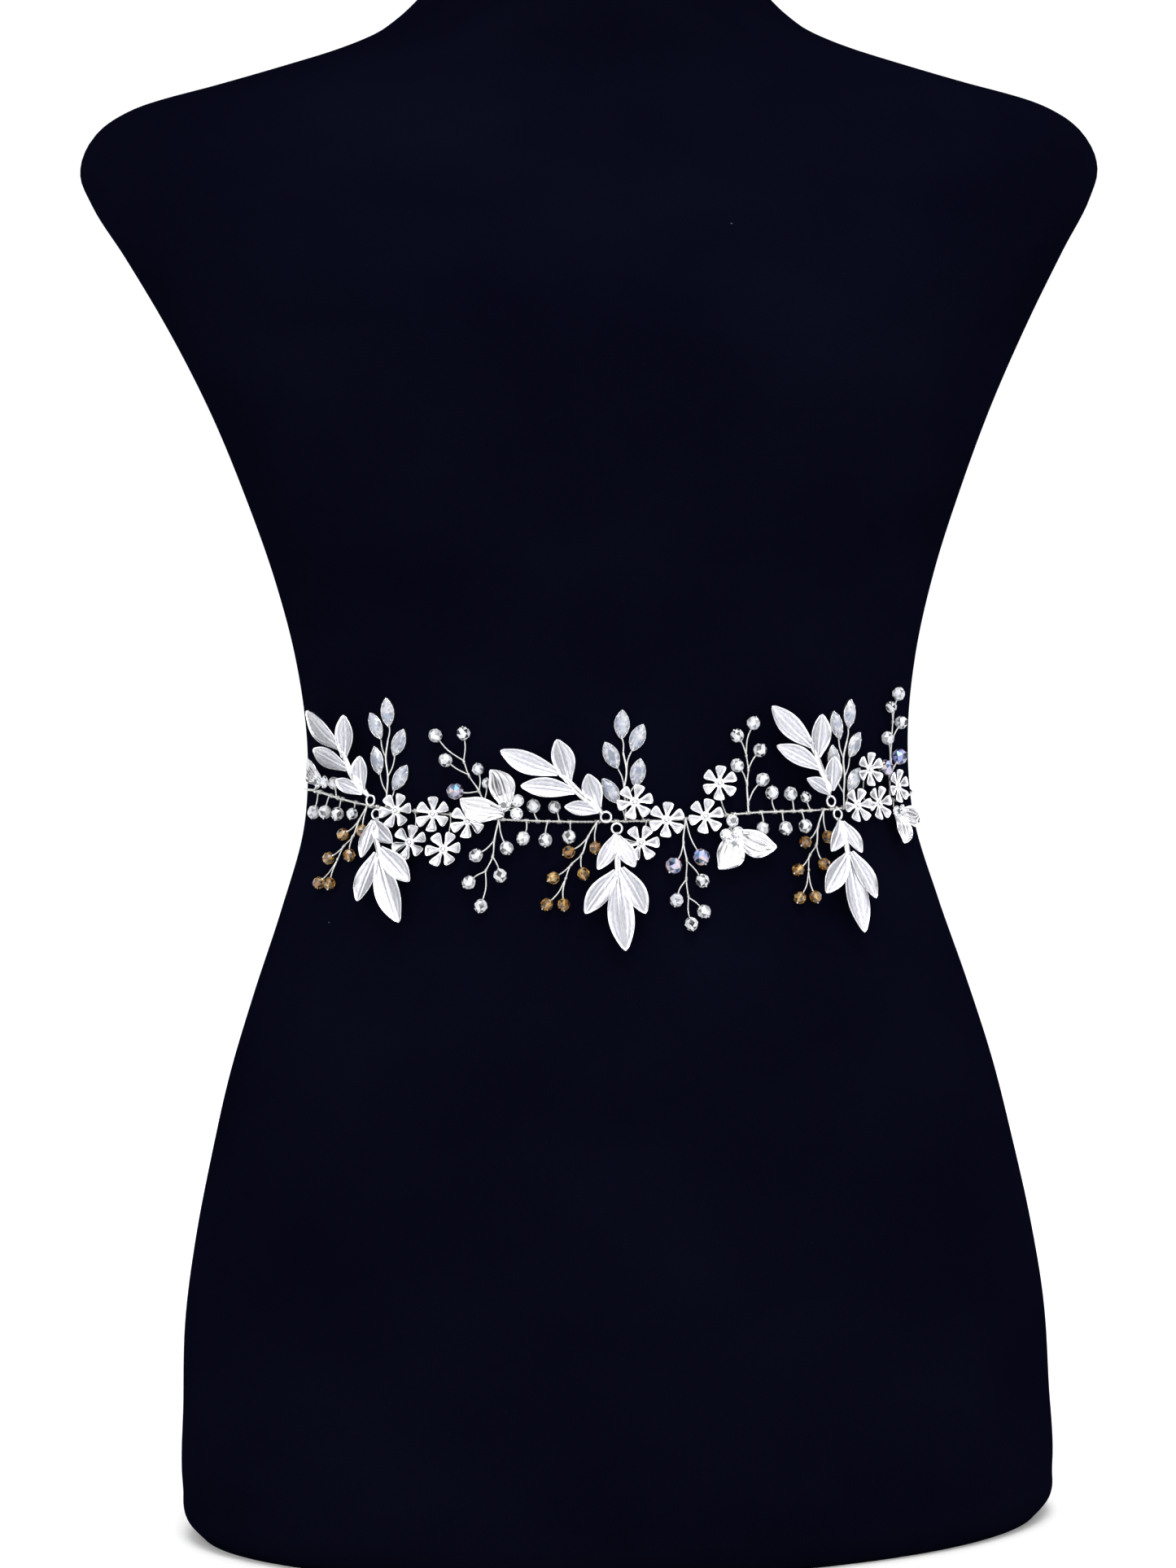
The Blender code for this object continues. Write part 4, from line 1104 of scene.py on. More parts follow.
@dataclass(frozen=True)
class JerseyFinish(Finish):
    """Close-knit cloth that covers the form.

    Attributes:
        yarn: colour of the yarn.
        fuzz: colour of lint and worn places.
        speck: colour of the few dust specks.
        stitches: knit columns per mm.
    """

    yarn: tuple = (0.0012, 0.0013, 0.0044, 1.0)
    fuzz: tuple = (0.0026, 0.0028, 0.0076, 1.0)
    speck: tuple = (0.10, 0.11, 0.13, 1.0)
    stitches: float = 0.9

    def make(self) -> bpy.types.Material:
        """Knit columns from the cloth's own lay, with cloudy fading and sparse lint."""
        material, tree, shader = self.start()
        lay = tree.add("ShaderNodeUVMap", uv_map="lay").outputs["UV"]
        knit = Effects.use(
            tree, "thread", {"Vector": lay, "Across": self.stitches, "Along": self.stitches * 0.7, "Slant": 0.9}
        )
        cloud = Effects.use(tree, "grain", {"Vector": lay, "Scale": 0.012, "Detail": 3.0})
        lint = Effects.use(tree, "grain", {"Vector": lay, "Scale": 0.8, "Detail": 2.0})
        share = tree.value("ADD", tree.spread(cloud, 0.35, 0.7, 0.0, 0.5), tree.spread(lint, 0.68, 0.8, 0.0, 0.8))
        relief = tree.add("ShaderNodeAttribute", attribute_name="relief").outputs["Fac"]
        share = tree.value("ADD", share, tree.spread(relief, 0.5, 0.9, 0.0, 1.5))
        lit = tree.value("MULTIPLY_ADD", knit, 0.25, share)
        cells = tree.add("ShaderNodeTexVoronoi", {"Vector": lay, "Scale": 0.03})
        dust = tree.spread(cells.outputs["Distance"], 0.008, 0.014, 1.0, 0.0)
        cloth = tree.blend(lit, self.yarn, self.fuzz)
        tree.tree.links.new(tree.blend(dust, cloth, self.speck), shader.inputs["Base Color"])
        tree.tree.links.new(tree.spread(cloud, 0.3, 0.7, 0.8, 0.95), shader.inputs["Roughness"])
        shader.inputs["Specular IOR Level"].default_value = 0.0
        bump = tree.add("ShaderNodeBump", {"Height": knit, "Strength": 0.5, "Distance": 0.12 * MM})
        tree.tree.links.new(bump.outputs["Normal"], shader.inputs["Normal"])
        return material


@dataclass(frozen=True)
class SatinFinish(Finish):
    """Ivory satin ribbon.

    Attributes:
        light: colour of the floats that catch the light.
        shade: colour between them.
    """

    light: tuple = (0.48, 0.44, 0.385, 1.0)
    shade: tuple = (0.29, 0.26, 0.215, 1.0)

    def make(self) -> bpy.types.Material:
        """Fine threads along the ribbon, soft slubs and a satin sheen."""
        material, tree, shader = self.start()
        lay = tree.add("ShaderNodeUVMap", uv_map="lay").outputs["UV"]
        threads = Effects.use(tree, "thread", {"Vector": lay, "Across": 2.4, "Along": 0.8, "Slant": 0.5})
        slub = Effects.use(tree, "grain", {"Vector": lay, "Scale": 1.1, "Stretch": 0.08, "Detail": 4.0})
        share = tree.value("MULTIPLY_ADD", threads, 0.18, tree.spread(slub, 0.3, 0.75, 0.0, 0.3))
        tree.tree.links.new(tree.blend(share, self.light, self.shade), shader.inputs["Base Color"])
        tree.tree.links.new(tree.spread(slub, 0.3, 0.7, 0.22, 0.30), shader.inputs["Roughness"])
        shader.inputs["Specular IOR Level"].default_value = 0.9
        shader.inputs["Sheen Weight"].default_value = 0.3
        shader.inputs["Sheen Roughness"].default_value = 0.3
        height = tree.value("MULTIPLY_ADD", slub, 0.5, threads)
        bump = tree.add("ShaderNodeBump", {"Height": height, "Strength": 0.25, "Distance": 0.05 * MM})
        tree.tree.links.new(bump.outputs["Normal"], shader.inputs["Normal"])
        return material


@dataclass(frozen=True)
class FloorFinish(Finish):
    """Pale matt studio floor."""

    def make(self) -> bpy.types.Material:
        """Near-white paint with a very faint mottle."""
        material, tree, shader = self.start()
        place = tree.add("ShaderNodeTexCoord").outputs["Object"]
        mottle = Effects.use(tree, "grain", {"Vector": place, "Scale": 3.0, "Detail": 4.0})
        tree.tree.links.new(
            tree.blend(mottle, (0.90, 0.90, 0.90, 1.0), (0.94, 0.94, 0.94, 1.0)), shader.inputs["Base Color"]
        )
        tree.tree.links.new(tree.spread(mottle, 0.3, 0.7, 0.85, 0.95), shader.inputs["Roughness"])
        return material


# The darker colours of the hollows below are painted shade with some tarnish.
PLATE_SILVER = MetalFinish("pressed_silver", Slot.SILVER)
PETAL_SILVER = MetalFinish(
    "petal_silver", Slot.SILVER, hollow_shade=(0.40, 0.40, 0.44, 1.0), rough_bright=0.24, rough_hollow=0.34, grain_scale=2.8
)
FOLDED_SILVER = MetalFinish(
    "folded_silver", Slot.SILVER, hollow_shade=(0.46, 0.46, 0.49, 1.0), rough_bright=0.12, rough_hollow=0.26, grain_scale=1.6
)
WIRE_SILVER = MetalFinish(
    "wire_silver", Slot.SILVER, bright=(0.75, 0.745, 0.73, 1.0), hollow_shade=(0.33, 0.325, 0.315, 1.0), rough_bright=0.28,
    rough_hollow=0.40, grain_scale=3.0, bump=0.02
)
CRYSTAL = GlassFinish("clear_crystal", Slot.CRYSTAL)
CUP_STONE = GlassFinish("cup_stone", Slot.CRYSTAL, clear=0.4, deep=0.25)
AURORA = GlassFinish(
    "aurora_crystal", Slot.AURORA, tint=(0.42, 0.46, 0.96, 1.0), second=(0.98, 0.76, 0.74, 1.0), deep=0.52, film=176.0
)
TOPAZ = GlassFinish(
    "topaz_crystal", Slot.TOPAZ, tint=(1.0, 0.62, 0.20, 1.0), second=(0.52, 0.22, 0.04, 1.0), clear=0.8, deep=0.5
)
OPAL = OpalFinish("milky_opal", Slot.OPAL)
JERSEY = JerseyFinish("navy_jersey", Slot.FORM)
SATIN = SatinFinish("ivory_satin", Slot.SATIN)
FLOOR = FloorFinish("pale_floor", None)


# ---------------------------------------------------------------- pieces


def write_mesh(name: str, shells: Sequence[Shell]) -> bpy.types.Mesh:
    """Write shells into one mesh, in metres, with its lay, its relief and a number for each facet.

    Args:
        name: the mesh's name.
        shells: closed surfaces in mm.

    Returns:
        The mesh, with its faces turned outwards.
    """
    starts = np.concatenate([[0], np.cumsum([len(s.points) for s in shells])[:-1]]).astype(int)
    points = np.concatenate([s.points for s in shells]) * MM
    faces: list[list[int]] = []
    round_face: list[bool] = []
    for start, shell in zip(starts, shells):
        for block in shell.faces:
            faces.extend((np.asarray(block) + start).tolist())
            round_face.extend([shell.smooth] * len(block))
    mesh = bpy.data.meshes.new(name)
    mesh.from_pydata(points.tolist(), [], faces)
    mesh.polygons.foreach_set("use_smooth", round_face)
    uv = np.concatenate([s.uv for s in shells]).astype(np.float32)
    corners = np.empty(len(mesh.loops), dtype=np.int32)
    mesh.loops.foreach_get("vertex_index", corners)
    mesh.uv_layers.new(name="lay").data.foreach_set("uv", uv[corners].ravel())
    relief = mesh.attributes.new("relief", "FLOAT", "POINT")
    relief.data.foreach_set("value", np.concatenate([s.relief for s in shells]).astype(np.float32))
    work = bmesh.new()
    work.from_mesh(mesh)
    bmesh.ops.recalc_face_normals(work, faces=work.faces)
    work.to_mesh(mesh)
    work.free()
    facet = mesh.attributes.new("facet", "FLOAT", "FACE")
    facet.data.foreach_set("value", (np.arange(len(mesh.polygons)) * 0.6180340 % 1.0).astype(np.float32))
    mesh.update()
    return mesh


def place_piece(name: str, shells: Sequence[Shell], finish: Finish, nodes: Sequence[str] = ()) -> bpy.types.Object:
    """Make one piece, dress it and fix it to the body.

    Args:
        name: the piece's name.
        shells: its closed surfaces.
        finish: its finish.
        nodes: CAD nodes that it stands for.

    Returns:
        The piece's object.
    """
    mesh = write_mesh(name, shells)
    mesh.materials.append(finish.material())
    made = bpy.data.objects.new(name, mesh)
    bpy.context.scene.collection.objects.link(made)
    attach(made, BODY)
    if nodes:
        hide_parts(*nodes)
    log.info("%s: %d faces, %s", name, len(mesh.polygons), finish.name)
    return made


# ---------------------------------------------------------------- leaves and flowers


@dataclass(frozen=True)
class LeafPress:
    """How a leaf plate is cut and pressed; lengths in mm.

    Attributes:
        rows: points along the leaf.
        columns: points across it.
        thickness: thickness of the plate.
        cup: how far the rims stand above the middle.
        rim: height of the raised rim.
        rib: height of the midrib.
        fold: depth of the lengthwise grooves.
        grooves: how many grooves each half has.
        curl: how far the tip bends out.
        sway: how far the midrib bows to the side, as a share of the length.
        hook: how far the tip bends to the side, mm.
    """

    rows: int = 44
    columns: int = 33
    thickness: float = 0.55
    cup: float = 0.9
    rim: float = 0.26
    rib: float = 0.22
    fold: float = 0.10
    grooves: int = 2
    curl: float = 0.0
    sway: float = 0.03
    hook: float = 0.0

    def outline(self, t: Array) -> Array:
        """Half width at t as a share of the greatest: narrow base, full middle, rounded tip."""
        shares = smooth(
            (0.0, 0.10, 0.25, 0.42, 0.58, 0.76, 0.91, 1.0), (0.30, 0.46, 0.74, 0.96, 1.0, 0.80, 0.42, 0.14), t
        )
        return shares * np.sqrt(np.clip((1.0 - t) / 0.035, 0.0, 1.0)).clip(0.03, 1.0)

    def press(self, shape: LeafShape, lift: Callable[[Array], Array], bow: float = 1.0) -> Shell:
        """Press one leaf.

        Along t and across u, the place is base + t length ahead + u half width side, and it
        is bowed by sway sin(pi t) and hooked near its tip. Its height is lift + cup u^2 + rim, midrib and grooves,
        which are narrow bells over the distance from the edge, the middle and each groove.

        Args:
            shape: its base, tip and width.
            lift: height of the plate's middle for (s, h) places.
            bow: side and strength of the sway.

        Returns:
            The leaf's shell.
        """
        base = np.array([shape.base_s, shape.base_h])
        tip = np.array([shape.tip_s, shape.tip_h])
        length = float(np.linalg.norm(tip - base))
        ahead = (tip - base) / length
        side = np.array([-ahead[1], ahead[0]])
        t = 0.5 - 0.5 * np.cos(math.pi * np.linspace(0.0, 1.0, self.rows))
        u = np.sin(math.pi / 2 * np.linspace(-1.0, 1.0, self.columns))
        tt, uu = np.meshgrid(t, u, indexing="ij")
        half = self.outline(tt) * shape.width / 2
        sway = bow * self.sway * length * np.sin(math.pi * tt)
        sway = sway + bow * self.hook * np.clip((tt - 0.72) / 0.28, 0.0, 1.0) ** 2
        flat = base + (ahead * length) * tt[..., None] + side * (uu * half + sway)[..., None]
        edge = (1 - np.abs(uu)) * half
        middle = np.abs(uu) * half
        rim = np.exp(-((edge / 0.42) ** 2))
        rib = np.exp(-((middle / 0.36) ** 2)) * np.clip(1.15 - tt, 0.0, 1.0)
        grooves = np.zeros_like(tt)
        for k in range(self.grooves):
            line = (k + 1) / (self.grooves + 1)
            grooves += np.exp(-(((np.abs(uu) - line) * shape.width / 2 / 0.42) ** 2))
        grooves *= 0.6 * np.sin(math.pi * np.clip(tt, 0.0, 1.0)) ** 0.6
        grooves += np.exp(-(((middle - 0.62) / 0.24) ** 2)) * np.clip((0.86 - tt) / 0.2, 0.0, 1.0)
        inner = np.exp(-(((edge - 1.0) / 0.30) ** 2)) * np.clip(middle / 0.8, 0.0, 1.0)
        mid = base + (ahead * length) * tt[..., None]
        height = lift(mid) + self.cup * uu**2 * self.outline(tt) + self.curl * tt**3
        height = height + self.rim * rim + self.rib * rib - self.fold * grooves - 0.06 * inner
        top = SKIN.wrap(np.concatenate([flat, height[..., None]], axis=-1))
        low = height - self.thickness - self.rim * rim
        under = SKIN.wrap(np.concatenate([flat, low[..., None]], axis=-1))
        # Painted shade: the relief is lowered along the grooves and the inner line and raised on the rim and midrib,
        # so the leaf face and grooves take painted shade and the rim stays bright.
        dark = 0.36 * grooves * min(1.4, self.fold / 0.1) + 0.16 * inner
        relief = np.clip(0.52 + 0.6 * rim + 0.35 * rib - dark, 0.0, 1.0)
        uv = np.stack([uu * half + shape.base_s, tt * length + shape.base_h], axis=-1)
        return plate(top, under, uv, relief)


@dataclass(frozen=True)
class LeafSpray:
    """A stamped spray: a ring, a stem and five leaves."""

    item: Placement
    leaves: tuple
    stem: tuple
    press: LeafPress = LeafPress()
    ring_radius: float = 2.0
    ring_wire: float = 0.48

    def lift(self, places: Array) -> Array:
        """Height of the spray: it rises from its ring and levels out."""
        away = np.linalg.norm(places - np.array([self.item.s, self.item.h]), axis=-1)
        return WIRE_OUT + 5.0 * (1 - np.exp(-away / 5.5))

    def build(self) -> None:
        """Build the spray and dress it."""
        item = self.item
        spots = [turned(item, point) for point in self.stem]
        flat = np.array(spots)
        heights = self.lift(flat) - 0.3
        heights[0] = WIRE_OUT
        path = WirePath([(s, h, w) for (s, h), w in zip(spots, heights)])
        taper = smooth((0.0, 0.15, 0.6, 1.0), (0.55, 0.95, 0.8, 0.45), path.lengths / path.length)
        shells = [tube(path.middles, path.side * 1.7, path.up, taper, 14)]
        middle, along, up, outward = SKIN.axes((item.s, item.h, WIRE_OUT))
        shells.append(torus(middle, (along, up, outward), self.ring_radius, self.ring_wire))
        for number, shape in enumerate(self.leaves):
            base = turned(item, (shape.base_s, shape.base_h))
            tip = turned(item, (shape.tip_s, shape.tip_h))
            real = LeafShape(*base, *tip, shape.width * item.scale)
            bow = (1.0, -0.8, -0.6, 0.7, -0.4)[number]

            def lift(places: Array, nudge: float = 0.05 * number) -> Array:
                """Height of this leaf."""
                return self.lift(places) + nudge

            shells.append(self.press.press(real, lift, bow))
        place_piece(f"{item.name}_plate", shells, PLATE_SILVER, [item.name])


@dataclass(frozen=True)
class SilverFlower:
    """A stamped flower with six flared petals.

    Attributes:
        item: its place.
        radius: from its middle to the petal tips, mm.
        cup: how far the petal tips stand out, mm.
        thickness: thickness of the petals, mm.
        rim: height of a petal's rim, mm.
    """

    item: FlowerPlace
    radius: float = 6.8
    cup: float = 0.9
    thickness: float = 0.5
    rim: float = 0.38

    def petal(self, turn: float) -> Shell:
        """One petal.

        Along r and across v, x = inner + r (reach - inner), where reach is a little shorter
        towards the corners, and y = v half width, which flares with r. The height is
        cup (x / radius)^2, plus a rim near the border, less a shallow dish inside it.

        Args:
            turn: the petal's direction on the flat sash, radians.

        Returns:
            The petal's shell.
        """
        r = 0.5 - 0.5 * np.cos(math.pi * np.linspace(0.0, 1.0, 17))
        v = np.sin(math.pi / 2 * np.linspace(-1.0, 1.0, 17))
        rr, vv = np.meshgrid(r, v, indexing="ij")
        inner = 0.8
        reach = self.radius * (1.0 - 0.09 * np.abs(vv) ** 4)
        x = inner + rr * (reach - inner)
        half = smooth((0.0, 0.2, 0.5, 0.8, 1.0), (0.42, 0.62, 1.20, 1.92, 2.05), rr)
        y = vv * half
        edge = np.minimum((1 - np.abs(vv)) * half, (1 - rr) * (reach - inner))
        rim = np.exp(-((edge / 0.40) ** 2))
        dish = np.clip(edge / 1.0, 0.0, 1.0) * np.clip(rr * 3, 0.0, 1.0)
        crease = np.exp(-((y / 0.28) ** 2)) * np.clip(1.0 - rr * 1.3, 0.0, 1.0)
        height = self.cup * (x / self.radius) ** 2 + self.rim * rim - 0.22 * dish + 0.15 * crease
        cos, sin = math.cos(turn), math.sin(turn)
        flat_s = self.item.s + x * cos - y * sin
        flat_h = self.item.h + x * sin + y * cos
        top = SKIN.wrap(np.stack([flat_s, flat_h, height + self.item.level], axis=-1))
        low = self.cup * (x / self.radius) ** 2 - self.thickness + self.item.level
        under = SKIN.wrap(np.stack([flat_s, flat_h, low], axis=-1))
        # Painted shade: the relief drops in the dish towards the flower's middle and rises on the rim and crease, so
        # the dish takes the darker colour of the hollows.
        relief = np.clip(0.42 + 0.75 * rim + 0.25 * crease - 0.42 * dish * (1.15 - rr), 0.0, 1.0)
        uv = np.stack([y + flat_s[0, 0] * 3, x + turn * 7], axis=-1)
        return plate(top, under, uv, relief)

    def build(self) -> None:
        """Build the flower, its middle and its wire."""
        item = self.item
        shells = [self.petal(math.radians(item.turn + 60 * k)) for k in range(6)]
        middle, along, up, outward = SKIN.axes((item.s, item.h, item.level))
        axes = (along, up, outward)
        shells.append(torus(middle + 0.45 * outward, axes, 1.32, 0.34, 20))
        shells.append(dome(middle + 0.55 * outward, axes, 0.85))
        for k in range(6):
            turn = math.radians(item.turn + 30 + 60 * k)
            spot = middle + 1.75 * (math.cos(turn) * along + math.sin(turn) * up) + 0.15 * outward
            shells.append(dome(spot, axes, 0.34, 5, 8))
        post = WirePath([(item.s, item.h, item.level - 0.2), (item.s + 0.01, item.h, 1.4)], 0.4)
        turn_in = tube(post.middles, np.tile(along, (len(post.middles), 1)), np.tile(up, (len(post.middles), 1)), 0.7, 8)
        shells.append(turn_in)
        piece = place_piece(f"{item.name}_stamping", shells, PETAL_SILVER, [item.name])
        if abs(item.h - float(vine_height(item.s))) >= 2.0:
            start = on_vine(item.wire_s)
            ahead = 2.4 if item.h > start[1] else -2.4
            low = (item.wire_s + (item.s - item.wire_s) * 0.2, start[1] + ahead, VINE_OUT + 0.1)
            path = WirePath([start, low, (item.s, item.h, VINE_OUT + 0.1)])
            wire = place_piece(f"{item.name}_wire", STALK_TWIST.wind(path), WIRE_SILVER)
            wire.parent = None
        log.info("%s placed at level %.2f", piece.name, item.level)


# ---------------------------------------------------------------- beads and stones


def cut_bead(middle: Array, axis: Array, radius: float, roll: float, sides: int = 7) -> Shell:
    """Faceted round bead threaded along an axis.

    Its rings lie at heights sin(a) along the axis with radii cos(a); each ring is turned
    half a step from the last, so the bands between them are triangles.

    Args:
        middle: its middle, mm.
        axis: direction of its wire.
        radius: its radius, mm.
        roll: turn round the axis, radians.
        sides: facets round one band.

    Returns:
        The bead's shell.
    """
    across = unit(np.cross(axis, (0.31, 0.45, 0.84)))
    other = np.cross(axis, across)
    rings = []
    for level, rise in enumerate(np.radians((-66.0, -36.0, 0.0, 36.0, 66.0))):
        turn = roll + 2 * math.pi * (np.arange(sides) + 0.5 * (level % 2)) / sides
        circle = np.outer(np.cos(turn), across) + np.outer(np.sin(turn), other)
        rings.append(middle + radius * (math.cos(rise) * circle + math.sin(rise) * axis))
    return faceted(rings)


def cut_chaton(place: Place, radius: float, low: float) -> Shell:
    """Round stone for a cup: pointed back, wide girdle, crown facets and a flat table.

    Args:
        place: (s, h) of its middle.
        radius: of its girdle, mm.
        low: height of its point above the skin, mm.

    Returns:
        The stone's shell.
    """
    middle, along, up, outward = SKIN.axes((place[0], place[1], low))
    rings = []
    for level, (out, size) in enumerate(((0.15, 0.16), (1.15, 0.93), (1.45, 1.0), (1.95, 0.84), (2.35, 0.55))):
        turn = 2 * math.pi * (np.arange(10) + 0.5 * (level % 2)) / 10
        circle = np.outer(np.cos(turn), along) + np.outer(np.sin(turn), up)
        rings.append(middle + radius * size * circle + out * outward)
    return faceted(rings)


def stone_cup(place: Place, radius: float, low: float) -> list[Shell]:
    """Silver cup for a round stone: a flared wall and six claws over the girdle."""
    middle, along, up, outward = SKIN.axes((place[0], place[1], low))
    turn = 2 * math.pi * np.arange(24) / 24
    circle = np.outer(np.cos(turn), along) + np.outer(np.sin(turn), up)
    profile = ((-0.15, 0.30), (0.95, 1.02), (1.38, 1.12), (1.45, 1.03), (0.95, 0.90), (0.02, 0.22))
    rings = [middle + radius * size * circle + out * outward for out, size in profile]
    points = np.concatenate(rings)
    faces = [grid_quads(len(rings), 24, ring=True)]
    faces.append(np.arange(24)[None, ::-1])
    faces.append((len(rings) - 1) * 24 + np.arange(24)[None, :])
    shells = [Shell(points, faces, points[:, :2].copy(), np.full(len(points), 0.7))]
    for k in range(6):
        a = 2 * math.pi * (k + 0.3) / 6
        spoke = math.cos(a) * along + math.sin(a) * up
        cross = np.cross(outward, spoke)
        bends = ((1.10, 0.9), (1.10, 1.5), (0.98, 1.88), (0.82, 2.06))
        line = np.array([middle + radius * size * spoke + out * outward for size, out in bends])
        ahead = unit(np.gradient(line, axis=0))
        first = np.tile(cross, (len(line), 1))
        shells.append(tube(line, first, np.cross(ahead, first), (0.26, 0.27, 0.25, 0.15), 6))
    return shells


@dataclass(frozen=True)
class Stalk:
    """One bead's wire: where it starts and where its bead is.

    Attributes:
        start: place on the stem.
        end: place of the bead's middle.
        radius: the bead's radius, mm.
        bow: how far the wire bows to the side, as a share of its length.
    """

    start: Place
    end: Place
    radius: float
    bow: float = 0.05

    def path(self) -> WirePath:
        """The wire's line, bowed a little like hand-bent wire."""
        start, end = np.array(self.start, dtype=float), np.array(self.end, dtype=float)
        way = end - start
        middle = (start + end) / 2 + np.array([-way[1], way[0], 0.0]) * self.bow
        return WirePath([start, middle, end])

    def wire(self) -> list[Shell]:
        """Twisted wire up to the bead, then the bead's silver-lined hole with its wire."""
        path = self.path()
        shells = STALK_TWIST.wind(path, 0.0, path.length - self.radius * 0.8)
        through = path.middles[-1] + np.outer(np.linspace(-1.0, 1.0, 4) * self.radius * 1.02, path.ahead[-1])
        side = np.tile(path.side[-1], (4, 1))
        core = self.radius * np.array([0.16, 0.30, 0.30, 0.16])
        shells.append(tube(through, side, np.tile(path.up[-1], (4, 1)), core, 7))
        tip = path.middles[-1] + path.ahead[-1] * self.radius * 1.0
        axes = (path.side[-1], path.up[-1], path.ahead[-1])
        shells.append(dome(tip, axes, 0.26, 5, 8))
        return shells

    def bead(self, roll: float) -> Shell:
        """The bead, threaded on the wire's last direction."""
        path = self.path()
        return cut_bead(path.middles[-1], path.ahead[-1], self.radius, roll)


@dataclass(frozen=True)
class BeadSprig:
    """A stem with stalked beads.

    Attributes:
        name: the CAD node that it stands for.
        stem: (s, h) points from the main wire outwards.
        beads: beads with the stem point that each leaves.
        finish: glass of the beads.
        large: glass of the larger beads, where it differs.
    """

    name: str
    stem: tuple
    beads: tuple
    finish: GlassFinish
    large: GlassFinish | None = None

    def stalks(self) -> list[Stalk]:
        """The beads' wires; their bows alternate."""
        made = []
        for number, item in enumerate(self.beads):
            s, h = self.stem[item.origin]
            bow = (0.07, -0.06, 0.05, -0.08)[number % 4]
            made.append(Stalk((s, h, WIRE_OUT), (item.s, item.h, item.radius + GAP), item.radius, bow))
        return made

    def build(self) -> None:
        """Build the wire and the beads."""
        stem = WirePath([(s, h, WIRE_OUT) for s, h in self.stem])
        thick = Twist(0.21, 0.22, 2.0, strands=3, sides=5, per_turn=7)
        wires = thick.wind(stem, 0.0, stem.length * 0.55) + STALK_TWIST.wind(stem, stem.length * 0.5)
        groups: dict[str, tuple[GlassFinish, list[Shell]]] = {}
        for number, stalk in enumerate(self.stalks()):
            wires.extend(stalk.wire())
            finish = self.large if self.large and stalk.radius > 3.0 else self.finish
            groups.setdefault(finish.name, (finish, []))[1].append(stalk.bead(number * 0.9))
        for origin in sorted({bead.origin for bead in self.beads}):
            s, h = self.stem[origin]
            near = float(np.argmin(np.linalg.norm(stem.middles - SKIN.wrap((s, h, WIRE_OUT)), axis=1)))
            at = stem.lengths[int(near)]
            knot = Twist(0.18, 0.5, 0.42, strands=1, sides=5, per_turn=9)
            wires.extend(knot.wind(stem, max(0.0, at - 0.9), min(stem.length, at + 0.6)))
        place_piece(f"{self.name}_wire", wires, WIRE_SILVER, [self.name])
        for label, (finish, shells) in groups.items():
            place_piece(f"{self.name}_{label.split('_')[0]}_beads", shells, finish, [self.name])


@dataclass(frozen=True)
class BeadRow:
    """Stalked beads above and below the main wire."""

    shape: RowShape
    finish: GlassFinish = CRYSTAL

    def build(self) -> None:
        """Build the row's wire, stalks and beads."""
        item = self.shape
        places = [on_vine(s) for s in np.linspace(item.start_s, item.end_s, 7)]
        wires = STALK_TWIST.wind(WirePath(places))
        beads = []
        for number, stone in enumerate(item.beads):
            bow = (0.08, -0.05, 0.04)[number % 3]
            stalk = Stalk(on_vine(stone.foot_s), (stone.s, stone.h, stone.radius + GAP), stone.radius, bow)
            wires.extend(stalk.wire())
            beads.append(stalk.bead(number * 1.3))
        place_piece(f"{item.name}_wire", wires, WIRE_SILVER, [item.name])
        place_piece(f"{item.name}_beads", beads, self.finish, [item.name])


